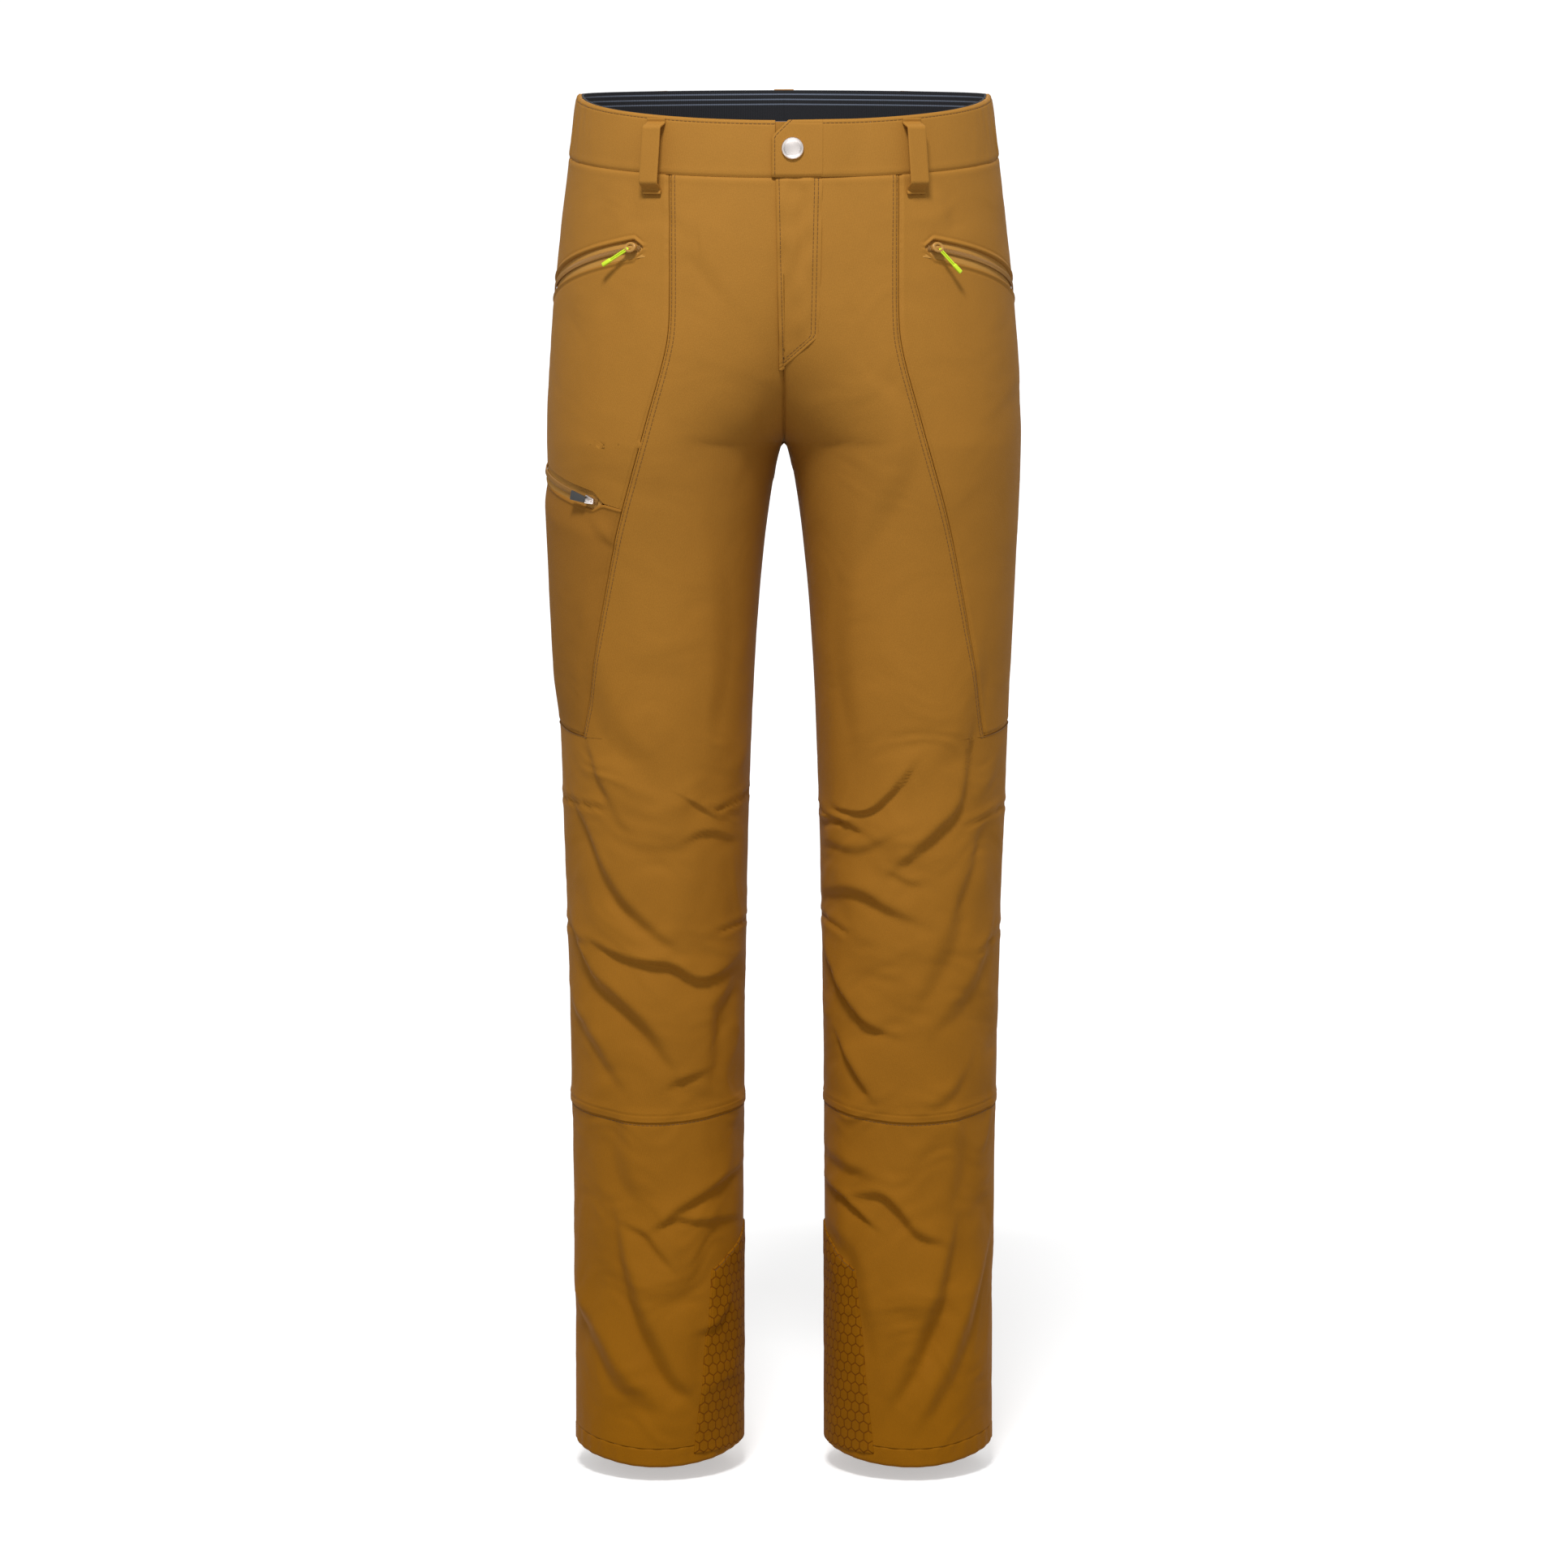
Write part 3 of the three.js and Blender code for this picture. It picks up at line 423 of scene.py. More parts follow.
def curve_through(points, count):
    """Evenly numbered points on a smooth curve through a few."""
    p = np.asarray(points, float)
    p = np.vstack([2 * p[0] - p[1], p, 2 * p[-1] - p[-2]])
    t = np.linspace(0, len(p) - 3, count)
    i = np.minimum(t.astype(int), len(p) - 4)
    f = (t - i)[:, None]
    a, b, c, d = p[i], p[i + 1], p[i + 2], p[i + 3]
    return 0.5 * (2 * b + (c - a) * f + (2 * a - 5 * b + 4 * c - d) * f**2 + (3 * b - a - 3 * c + d) * f**3)


def stroke_height(u, z, line, drop, steep, gentle, recovery, dark):
    """Height that one fold adds at each point of the flat cloth (u across, z up), in metres."""
    added = np.zeros(u.shape)
    reach = max(2.2 * gentle, steep + 3 * recovery)
    near = ((u > line[:, 0].min() - reach) & (u < line[:, 0].max() + reach)
            & (z > line[:, 1].min() - reach) & (z < line[:, 1].max() + reach))
    if not near.any():
        return added
    points = np.stack([u[near], z[near]], axis=-1)
    gap = ((points[:, None, :] - line[None]) ** 2).sum(-1)
    nearest = gap.argmin(1)
    tangent = np.gradient(line, axis=0)
    tangent /= np.linalg.norm(tangent, axis=1, keepdims=True)
    normal = np.stack([-tangent[:, 1], tangent[:, 0]], axis=-1)
    mean = normal.mean(0)
    lit = {"down": mean[1], "in": mean[0], "out": -mean[0]}[dark]
    normal = normal * (1 if lit >= 0 else -1)
    offset = points - line[nearest]
    d = (offset * normal[nearest]).sum(-1)
    along = (offset * tangent[nearest]).sum(-1)
    past = np.abs(along) * ((nearest == 0) | (nearest == len(line) - 1))
    t = np.clip((nearest + along / np.linalg.norm(line[1] - line[0])) / (len(line) - 1), 0, 1)
    taper = np.sin(math.pi * (0.03 + 0.94 * t)) ** 0.75
    fade = taper * np.exp(-((past / (0.5 * steep + 0.006)) ** 2))
    width = steep * (0.4 + 0.6 * taper)
    fall = ease(0, 1, -d / width)
    back = 1 - np.exp(-np.maximum(0, -d - width) / recovery)
    shape = np.where(d >= 0, 0.5 * np.exp(-((np.maximum(d, 0) / gentle) ** 1.4)), 0.5 - fall + 0.5 * back)
    added[near] = shape * fade * drop
    return added


def prepared(strokes, to_cloth, depth=1.7):
    """Folds as smooth lines on the flat cloth, in metres. depth deepens them all."""
    ready = []
    for points, drop, steep, gentle, recovery, dark in strokes:
        line = curve_through(to_cloth(np.array(points, float)), 60)
        ready.append((line, depth * drop * MM, steep * MM, gentle * MM, recovery * MM, dark))
    return ready


def front_cloth(p):
    return np.stack([way_at(p[:, 0] * MM, p[:, 1] * MM) * AROUND, p[:, 1] * MM], axis=-1)


def back_cloth(p):
    return np.stack([p[:, 0] * AROUND, p[:, 1] * MM], axis=-1)


LEG_STROKES = {
    1: prepared(LEFT_FRONT, front_cloth) + prepared([s for s in BACK], back_cloth),
    -1: prepared(RIGHT_FRONT, front_cloth)
    + prepared([([(w + 0.01, z - 9) for w, z in line], *rest) for line, *rest in BACK], back_cloth),
}
TORSO_STROKES = prepared(TORSO, lambda p: p * MM)
print(len(LEG_STROKES[1]), "folds on the left leg,", len(LEG_STROKES[-1]), "on the right")
print(len(TORSO_STROKES), "folds above the legs")

# %% [markdown]
# Between the strokes the cloth is never quite flat. A few dozen faint waves in random directions
# add up to the small unevenness of a worn fabric. Near the zips, the fly and the waistband the
# cloth is sewn to something stiff, so all relief fades out there.

# %% Relief of the cloth
def waves(seed, size, count=26):
    rng = np.random.default_rng(seed)
    angle = rng.uniform(0, 2 * math.pi, count)
    number = 2 * math.pi / (size * rng.uniform(0.6, 1.7, count))
    return number * np.cos(angle), number * np.sin(angle), rng.uniform(0, 2 * math.pi, count)


WIDE, MIDDLE, SMALL = waves(3, 0.085), waves(5, 0.036), waves(8, 0.017)


def ripple(u, z, field):
    total = np.zeros(u.shape)
    for ku, kz, phase in zip(*field):
        total += np.cos(ku * u + kz * z + phase)
    return total / math.sqrt(len(field[0]) / 2)


def ease(a, b, value):
    """0 before a, 1 past b, and a smooth change between."""
    t = np.clip((value - a) / (b - a), 0, 1)
    return t * t * (3 - 2 * t)


def relief(side, way, z):
    """How far the cloth stands off the body shape at each point."""
    way = np.where(way < 0, way + 1, way)
    z = z + 0 * way
    u = way * AROUND
    h = np.zeros(u.shape)
    for stroke in LEG_STROKES[side]:
        h += stroke_height(u, z, *stroke)
    x = skin(side, way, z)[..., 0]
    front = way < 0.5
    if front.any():
        added = np.zeros(u.shape)
        for stroke in TORSO_STROKES:
            added += stroke_height(x, z, *stroke)
        h += np.where(front, added, 0)
    shift = 40 * (side < 0)
    rough = 0.3 + 0.7 * ease(-0.42, -0.58, z) * (1 - 0.3 * ease(-1.0, -1.05, z))
    bent = z + 0.012 * ripple(u + shift, z, WIDE)
    h += MM * rough * (0.7 * ripple(u + shift, bent, WIDE) + 0.24 * ripple(u + shift, 1.6 * bent, MIDDLE)
                       + 0.05 * ripple(u + shift, 1.3 * bent, SMALL))
    h *= ease(-0.052, -0.085, z) * (1 - 0.55 * ease(-1.045, -1.062, z))
    # the side seams and the inseam hold the cloth, so the folds die out towards them
    to_seam = np.minimum(np.abs(way - 0.5), np.minimum(way, 1 - way))
    h *= np.where(z < -0.3, mix(0.3, 1, ease(0.0, 0.075, to_seam)), 1)
    near_hand = np.abs(z - hand_z(way)) + 0.3 * AROUND * np.maximum(0, HAND_ZIP[0][0] - 0.02 - way)
    h *= np.where((way > HAND_ZIP[0][0] - 0.09) & (way < 0.56), ease(0.009, 0.024, near_hand), 1)
    if side < 0:
        near_thigh = np.abs(z - thigh_z(way)) + 0.3 * AROUND * np.maximum(0, THIGH_ZIP[0][0] - 0.02 - way)
        h *= np.where((way > THIGH_ZIP[0][0] - 0.09) & (way < 0.56), ease(0.009, 0.022, near_thigh), 1)
        # the loaded thigh pocket stands out a little
        pocket = ease(thigh_z(way) - 0.004, thigh_z(way) - 0.03, z)
        pocket = pocket * ease(SEAM_END - 0.002, SEAM_END + 0.05, z)
        h += 0.0035 * pocket * ease(thigh_seam(z), thigh_seam(z) + 0.03, way) * ease(0.56, 0.52, way)
    lean_on_fly = np.where(front & (z > -0.215), ease(0.034, 0.05, np.abs(x)), 1)
    return h * mix(0.35, 1, lean_on_fly)


print("relief at the right knee", relief(-1, np.array([0.2]), np.array([-0.63])) * 1000, "mm")

# %% [markdown]
# ## Sewing a panel
#
# A panel lies between edges: curves of height over way round above and below, and curves of way
# round over height at its two sides. Its mesh is fine near every edge, where the cloth rolls into
# the seam, and wider between. An outer and an inner layer are joined round the rim, so each
# panel is a closed sheet of the cloth's own thickness.

# %% Panel builder
CLOTH = 0.0026
STEP = 0.0027
RIM = np.array([0, 0.5, 1.0, 1.6, 2.2, 2.8, 3.5, 4.2, 5.0, 5.8, 6.8, 8.2]) * MM


def places(guides, step=STEP, rim=RIM):
    """Shares from 0 to 1 across several strips, given their widths, fine at every guide."""
    shares, at = [], 0.0
    for k, width in enumerate(guides):
        if width < 2 * rim[-1] + step:
            count = max(2, int(math.ceil(width / 0.0007)) if width < 0.016 else int(width / 0.0012))
            own = np.linspace(0, 1, count + 1)
        else:
            count = max(1, round((width - 2 * rim[-1]) / step))
            inside = np.linspace(rim[-1], width - rim[-1], count + 1)
            own = np.concatenate([rim[:-1], inside, width - rim[-2::-1]]) / width
        shares.append((own[:-1] if k < len(guides) - 1 else own) + k)
    return np.concatenate(shares)


def between(curves, share, at):
    """The value at a share along a list of curves, each read at the same place."""
    k = np.minimum(share.astype(int), len(curves) - 2)
    values = np.stack([c(at) + 0 * at for c in curves])
    low = np.take_along_axis(values, k[None], 0)[0]
    high = np.take_along_axis(values, k[None] + 1, 0)[0]
    return mix(low, high, share - k)


def closed_sheet(name, outer, inner, uv, flip, wrap=False):
    """A closed mesh from an outer and an inner grid of points."""
    rows, cols = outer.shape[:2]
    number = np.arange(rows * cols).reshape(rows, cols)
    if wrap:
        number = np.concatenate([number, number[:, :1]], axis=1)
    a, b, c, d = number[:-1, :-1], number[1:, :-1], number[1:, 1:], number[:-1, 1:]
    front = np.stack([a, b, c, d], axis=-1).reshape(-1, 4)
    offset = rows * cols
    back = front[:, ::-1] + offset
    edges = [(number[-1, :-1], number[-1, 1:]), (number[0, 1:], number[0, :-1])]
    if not wrap:
        edges += [(number[:-1, 0], number[1:, 0]), (number[1:, -1], number[:-1, -1])]
    rim = [np.stack([q, p, p + offset, q + offset], axis=-1) for p, q in edges]
    faces = np.concatenate([front, back] + rim)
    if flip:
        faces = faces[:, ::-1]
    points = np.concatenate([outer.reshape(-1, 3), inner.reshape(-1, 3)])
    mesh = bpy.data.meshes.new(name)
    mesh.from_pydata(points.tolist(), [], faces.tolist())
    layer = mesh.uv_layers.new(name="cloth")
    loops = np.empty(len(mesh.loops), np.int32)
    mesh.loops.foreach_get("vertex_index", loops)
    flat = np.concatenate([uv.reshape(-1, 2)] * 2)
    layer.data.foreach_set("uv", flat[loops].astype(np.float32).ravel())
    mesh.polygons.foreach_set("use_smooth", np.ones(len(mesh.polygons), bool))
    obj = bpy.data.objects.new(name, mesh)
    bpy.context.collection.objects.link(obj)
    return obj


def grid_area(p):
    across, down = np.diff(p, axis=1)[:-1], np.diff(p, axis=0)[:, :-1]
    return float(np.linalg.norm(np.cross(across, down), axis=-1).sum())


def grid_size(p):
    return (float(np.linalg.norm(np.diff(p, axis=1), axis=-1).sum(1).max()),
            float(np.linalg.norm(np.diff(p, axis=0), axis=-1).sum(0).max()))


def seam_roll(distance, depth=0.8):
    """The dip of a sewn edge: it rolls under at the seam and swells a little beside it."""
    d = distance / MM
    return MM * (-depth * np.exp(-((d / 1.3) ** 2)) + 0.15 * np.exp(-(((d - 4.2) / 2.2) ** 2)))


FLAT_SIZES = {}
DEPTHS = {}


def walked(grid, axis):
    """Distance along each row (axis 1) or column (axis 0) of a grid of points, from its start."""
    steps = np.linalg.norm(np.diff(grid, axis=axis), axis=-1)
    start = np.zeros_like(steps.take([0], axis=axis))
    return np.concatenate([start, np.cumsum(steps, axis=axis)], axis=axis)


def panel(name, side, rows, columns, seams="tblr", lift=0.0, thick=CLOTH, gap=0.0003, step=STEP, extra=None,
          stitched=(), ruffled=True, cornered=None):
    """Sews one panel. rows are curves of height, columns curves of way; seams are the rolled edges.
    cornered is (strip heights, width, chart) for a panel whose edge turns a corner."""
    z_mid = float(np.mean([rows[0](0.3), rows[-1](0.3)]))
    mid_way = float(np.mean([columns[0](z_mid), columns[-1](z_mid)]))
    heights = [float(abs(a(mid_way) - b(mid_way))) for a, b in zip(rows, rows[1:])]
    levels = np.linspace(float(rows[0](mid_way)), float(rows[-1](mid_way)), 7)
    wide = []
    for a, b in zip(columns, columns[1:]):
        wide.append(float(max(abs(a(z) - b(z)) for z in levels)) * AROUND * 1.03)
    if cornered:
        heights, wide = cornered[0], [cornered[1]]
    t, s = np.meshgrid(places(heights, step), places(wide, step), indexing="ij")
    z = np.full(t.shape, z_mid)
    for _ in range(7):
        if cornered:
            way, z = cornered[2](s, t, z)
        else:
            way = between(columns, s, z)
            z = between(rows, t, way)
    # metric distance to each edge, read along the grid
    base = skin(side, way, z)
    from_left, from_top = walked(base, 1), walked(base, 0)
    edge = {"l": from_left, "r": from_left[:, -1:] - from_left, "t": from_top, "b": from_top[-1:] - from_top}
    h = relief(side, way, z) if ruffled else np.zeros(z.shape)
    for k in seams:
        h = h + seam_roll(edge[k])
    for k, offset in stitched:  # thread pulls the cloth down in a line beside the edge
        beat = 1 + 0.35 * np.cos(2 * math.pi * (from_top if k in "lr" else from_left) / 0.0075)
        h = h - 0.4 * MM * np.exp(-(((edge[k] - offset) / (0.75 * MM)) ** 2)) * beat
    if extra is not None:
        h = h + extra(side, way, z, edge)
    n = outward(side, way, z)
    trim_l, trim_r = np.exp(-edge["l"] / MM), np.exp(-edge["r"] / MM)
    across = np.gradient(base, axis=1)
    across /= np.linalg.norm(across, axis=-1, keepdims=True)
    hold = np.where((z > -RISE - 0.004) & ((way < 0.003) | (way > 0.997)), 0, 1)
    base = base + across * (gap * hold * (trim_l - trim_r))[..., None]
    outer = base + n * (h + lift)[..., None]
    inner = base + n * (h + lift - thick)[..., None]
    middle = (hold == 0) & ((way < 1e-6) | (way > 1 - 1e-6))  # the two sides meet in the middle
    outer[..., 0], inner[..., 0] = np.where(middle, 0, outer[..., 0]), np.where(middle, 0, inner[..., 0])
    uv = np.stack([way * AROUND, z], axis=-1)
    obj = closed_sheet(name, outer, inner, uv, flip=side < 0)
    DEPTHS[name] = (edge, outer, n, way, z)
    w, l = grid_size(base)
    FLAT_SIZES[name] = (w, l, min(grid_area(base), w * l))
    return obj


def finish_cloth(obj, slot, node=None, body="trousers"):
    """Hides the part of the model that a sewn piece stands for, names its cloth and hangs it on its body if
    one is given.
    """
    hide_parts(node or obj.name.replace("_cloth", ""))
    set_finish(obj, slot)
    if body:
        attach(obj, body)
    return obj


def line(value):
    return lambda at: value + 0 * at


print("panel builder ready, mesh step", STEP * 1000, "mm")

# %% [markdown]
# ## The body panels
#
# Each leg has a front panel from the waist to the shin, a side panel or pocket panel beside it,
# a back panel under a yoke, and two lower leg pieces. Darts take in the cloth above and below the
# knee, inside and outside, which gives the knee its bend.

# %% Darts and welts
def dart_pull(side, way, z):
    """A narrow stitched groove with a soft swell on each side of it."""
    lines = {
        -1: [((169, -548), (136, -552)), ((25, -543), (52, -554)),
             ((171, -648), (152, -663)), ((28, -644), (52, -650))],
        1: [((168, -556), (140, -566)), ((28, -556), (48, -566)),
            ((171, -652), (150, -668)), ((27, -640), (50, -652))],
    }
    x = np.abs(skin(side, way, z)[..., 0]) / MM
    zz = z / MM
    h = np.zeros(z.shape)
    for (x0, z0), (x1, z1) in lines[side]:
        dx, dz = x1 - x0, z1 - z0
        length = math.hypot(dx, dz)
        along = ((x - x0) * dx + (zz - z0) * dz) / length
        away = ((x - x0) * dz - (zz - z0) * dx) / length
        on = np.where((along > -14) & (along < length), 1, 0) * ease(length + 8, length - 6, along)
        h += on * (-1.5 * np.exp(-((away / 1.3) ** 2)) + 0.6 * np.exp(-(((np.abs(away) - 4.5) / 3) ** 2)))
    return np.where(way < 0.5, h, 0) * MM


OPENING = 0.0068


def opening_half(way, start):
    """Half height of a pocket opening, which narrows to a point at its inner end."""
    return np.clip((way - start) * AROUND / 0.008, 0.03, 1) * OPENING


def welt(curve, start):
    """The cloth folds in at the opening and leaves the zip below its lips."""
    def shape(side, way, z, edge):
        half = opening_half(way, start)
        d = half - np.abs(z - curve(way))  # positive inside
        inside = ease(-0.0003, 0.0004, d) * ease(start + 0.001, start + 0.004, way) * ease(0.5335, 0.531, way)
        lip = np.exp(-(((d + 0.0016) / 0.0012) ** 2)) * ease(start - 0.01, start + 0.01, way)
        row = np.exp(-(((d + 0.0042) / 0.0006) ** 2)) * ease(start - 0.01, start + 0.01, way)
        return -0.0042 * inside + 0.0009 * lip - 0.00035 * row
    return shape


def fly_lift(side, way, z, edge=None):
    """The left front rises to lie flush with the flap that is folded over the zip."""
    if side < 0:
        return np.zeros(z.shape)
    x = skin(side, way, z)[..., 0]
    down = np.where(z > -0.19, 1, ease(-0.232, -0.19, z))
    return 0.0026 * ease(0.062, 0.026, x) * down * (way < 0.5)


def j_line(z):
    """The end of the fly stitching: straight down, then slanting to the middle seam."""
    slant = mix(0.0262, -0.0034, np.clip((-0.1855 - z) / 0.0258, 0, 1))
    return np.where(z > -0.1855, mix(0.0283, 0.0262, np.clip((-0.067 - z) / 0.1185, 0, 1)), slant)


def left_front_edge(z):
    return np.where(z > -0.2114, way_at(np.maximum(j_line(z), 0.0002), z), 0)


# %% Fronts and sides
made = []
for side, word in ((1, "left"), (-1, "right")):
    def front_extra(side, way, z, edge):
        swell = 0.0008 * ease(0.011, 0.006, edge["b"])
        middle = seam_roll(edge["l"]) * (ease(-0.206, -0.214, z) if side > 0 else 1)
        return dart_pull(side, way, z) + fly_lift(side, way, z) + swell + middle

    start_edge = left_front_edge if side > 0 else line(0.0)

    def chart(s, t, z):
        """Down the thigh seam, out along its end to the side seam, then down to the shin."""
        first, second = t <= 1, (t > 1) & (t <= 2)
        f = t - np.where(first, 0, np.where(second, 1, 2))
        high = np.maximum(z, SEAM_END)
        way_1 = mix(start_edge(high), thigh_seam(high), s)
        reach = mix(thigh_seam(SEAM_END), SIDE_SEAM, f)
        way = np.where(first, way_1, np.where(second, reach * s, SIDE_SEAM * s))
        z_1 = mix(band_z(way), SEAM_END, f)
        z_2 = mix(SEAM_END - 0.08 * f, seam_end_z(reach), s)
        z_3 = mix(mix(SEAM_END - 0.08, seam_end_z(np.array(SIDE_SEAM)), s), shin_z(way), f)
        return way, np.where(first, z_1, np.where(second, z_2, z_3))

    upper = panel(f"front_panel_{word}_cloth", side, [band_z, shin_z],
                  [start_edge, line(SIDE_SEAM)], step=0.0031,
                  seams="tr", extra=front_extra, stitched=(("r", 2 * MM), ("b", 5.4 * MM)),
                  cornered=([0.43, 0.067, 0.29], 0.235, chart))
    made.append(finish_cloth(upper, "softshell"))

    start = HAND_ZIP[0][0]

    def above_zip(w):
        return hand_z(w) + opening_half(w, HAND_ZIP[0][0])

    def below_zip(w):
        return hand_z(w) - opening_half(w, HAND_ZIP[0][0])

    if side > 0:
        rows = [band_z, above_zip, below_zip, seam_end_z]
        shape = welt(hand_z, start)
    else:
        t_start = THIGH_ZIP[0][0] - 0.005
        low_edge = lambda w: thigh_z(w) + opening_half(w, t_start) * ease(t_start - 0.03, t_start, w)
        rows = [band_z, above_zip, below_zip, low_edge]
        shape = welt(hand_z, start)
    columns = [thigh_seam, lambda z: np.maximum(start + 0.002, thigh_seam(z) + 0.018), line(SIDE_SEAM)]
    flank = panel(f"side_panel_{word}_cloth", side, rows, columns, extra=shape,
                  seams="tlr" + ("b" if side > 0 else ""),
                  stitched=(("l", 2 * MM),) + ((("b", 2.4 * MM),) if side > 0 else ()))
    made.append(finish_cloth(flank, "softshell"))

# the pocket panel on the right thigh
t_start = THIGH_ZIP[0][0] - 0.005
pocket_top = lambda w: thigh_z(w) - opening_half(w, t_start) * ease(t_start - 0.03, t_start, w)
pocket = panel("thigh_pocket_panel_cloth", -1, [pocket_top, seam_end_z],
               [thigh_seam, line(SIDE_SEAM)], seams="blr",
               stitched=(("b", 2.4 * MM), ("l", 2 * MM)),
               extra=lambda side, way, z, edge: 0.0008 * np.exp(-(((edge["t"] - 0.0016) / 0.0012) ** 2)))
made.append(finish_cloth(pocket, "pocket_fabric"))
print("fronts, sides and pocket:", [(o.name, len(o.data.polygons)) for o in made])

# %% Yokes, backs and lower legs
for side, word in ((1, "left"), (-1, "right")):
    back = panel(f"back_panel_{word}_cloth", side, [yoke_z, shin_z],
                 [line(SIDE_SEAM), line(1.0)], step=0.0034, seams="tlr",
                 stitched=(("t", 2 * MM), ("t", 5.2 * MM), ("b", 5.4 * MM)),
                 extra=lambda side, way, z, edge: 0.0008 * ease(0.011, 0.006, edge["b"]))
    yoke = panel(f"back_yoke_{word}_cloth", side, [band_z, yoke_z], [line(SIDE_SEAM), line(1.0)])

    def shin_extra(side, way, z, edge):
        return -0.0004 * ease(0.004, 0.0005, edge["t"])

    shin = panel(f"lower_leg_front_{word}_cloth", side, [shin_z, cuff_z],
                 [line(0.0), line(SIDE_SEAM)], extra=shin_extra, seams="lr")
    calf = panel(f"lower_leg_back_{word}_cloth", side, [shin_z, cuff_z],
                 [line(SIDE_SEAM), line(1.0)], extra=shin_extra, seams="lr")
    for obj in (back, yoke, shin, calf):
        finish_cloth(obj, "softshell")
print("backs, yokes and lower legs sewn")

# %% Hems and scuff guards
def ring(name, side, rows, thick, lift=0.0, extra=None, step=STEP):
    """A band of cloth sewn into a ring round one leg."""
    height = float(abs(rows[0](0.3) - rows[-1](0.3)))
    t = places([height], step)
    s = np.linspace(0, 1, 190, endpoint=False)
    t, s = np.meshgrid(t, s, indexing="ij")
    z = between(rows, t, s)
    base = skin(side, s, z)
    n = outward(side, s, z)
    down = walked(base, 0)
    edge = {"t": down, "b": down[-1:] - down}
    h = relief(side, s, z) - 0.0004 * np.exp(-((edge["t"] / 0.0008) ** 2))
    if extra is not None:
        h = h + extra(s, z, edge)
    outer, inner = base + n * (h + lift)[..., None], base + n * (h + lift - thick)[..., None]
    obj = closed_sheet(name, outer, inner, np.stack([s * AROUND, z], axis=-1), flip=side < 0, wrap=True)
    w, l = grid_size(base)
    FLAT_SIZES[name] = (w, l, min(grid_area(base), w * l))
    DEPTHS[name] = (edge, outer, n, s, z)
    return obj


def hem_fold(way, z, edge):
    return -0.0011 * np.exp(-((edge["b"] / 0.0011) ** 2)) + 0.0003 * np.sin(way * 2 * math.pi * 31)


def guard_edge(z):
    return way_at(mix(0.055, 0.071, np.clip((-0.905 - z) / 0.16, 0, 1)), z)


def guard_top(w):
    return -0.888 - 0.030 * np.clip(np.abs(w) / 0.13, 0, 1)


def pressed_rim(side, way, z, edge):
    """Every edge of a guard is pressed into the cloth."""
    return sum(-0.0010 * np.exp(-((edge[k] / 0.0008) ** 2)) for k in "tlrb")


for side, word in ((1, "left"), (-1, "right")):
    hem = ring(f"hem_{word}_cloth", side, [lambda w: cuff_z(w) - 0.0002, hem_z], CLOTH + 0.001,
               extra=hem_fold)
    finish_cloth(hem, "softshell")

    guard = panel(f"scuff_guard_{word}_cloth", side, [guard_top, line(-RISE - INSEAM + 0.001)],
                  [lambda z: -guard_edge(z), guard_edge], lift=0.0013, thick=0.0012, gap=0, seams="",
                  extra=pressed_rim,
                  stitched=(("t", 1.8 * MM), ("l", 1.8 * MM), ("r", 1.8 * MM)))
    finish_cloth(guard, "scuff_fabric")
print("hems and guards done")

# %% Waistband
def front_grid(x, z):
    """Body-shape points and directions across the middle of the front, x on either side of it."""
    left = x >= 0
    way = way_at(x, z)
    p = np.where(left[..., None], skin(1, way, z), skin(-1, way, z))
    clear = np.maximum(way, 0.0041)
    n = np.where(left[..., None], outward(1, clear, z), outward(-1, clear, z))
    return p, n


def front_sheet(name, x_from, x_to, top, bottom, lift, thick, step=STEP, extra=None, stitched=()):
    """A strip over the centre front, with its edges given as distances across."""
    t = places([abs(top(0.02) - bottom(0.02))], step)
    width = abs(x_to(np.array(-0.05)) - x_from(np.array(-0.05)))
    s = places([float(width)], step)
    t, s = np.meshgrid(t, s, indexing="ij")
    z = np.full(t.shape, -0.05)
    for _ in range(6):
        x = mix(x_from(z), x_to(z), s)
        way = way_at(x, np.clip(z, -0.2, -0.02))
        z = mix(top(way), bottom(way), t)
    base, n = front_grid(x, z)
    edge = {"l": x - x_from(z), "r": x_to(z) - x,
            "t": walked(base, 0)}
    edge["b"] = edge["t"][-1:] - edge["t"]
    h = np.zeros(z.shape)
    for k, offset in stitched:
        h = h - 0.4 * MM * np.exp(-(((edge[k] - offset) / (0.75 * MM)) ** 2))
    if extra is not None:
        h = h + extra(x, z, edge)
    outer, inner = base + n * (h + lift)[..., None], base + n * (h + lift - thick)[..., None]
    obj = closed_sheet(name, outer, inner, np.stack([way * AROUND * np.sign(x), z], axis=-1), flip=False)
    w, l = grid_size(base)
    FLAT_SIZES[name] = (w, l, min(grid_area(base), w * l))
    DEPTHS[name] = (edge, outer, n, x, z)
    return obj


def band_puff(side, way, z, edge):
    """A waistband is two layers of cloth over elastic: full in the middle, gathered a little at the sides."""
    top_fold = -1.3 * MM * np.exp(-((edge["t"] / (1.3 * MM)) ** 2))
    gather = 0.35 * MM * ripple(way * AROUND * 1.8, z * 0.35, SMALL) * ease(0.3, 0.5, way)
    swell = 0.5 * MM * np.sin(math.pi * np.clip(edge["t"] / 0.046, 0, 1))
    return top_fold + swell + gather + 1.4 * fly_lift(side, way, z)


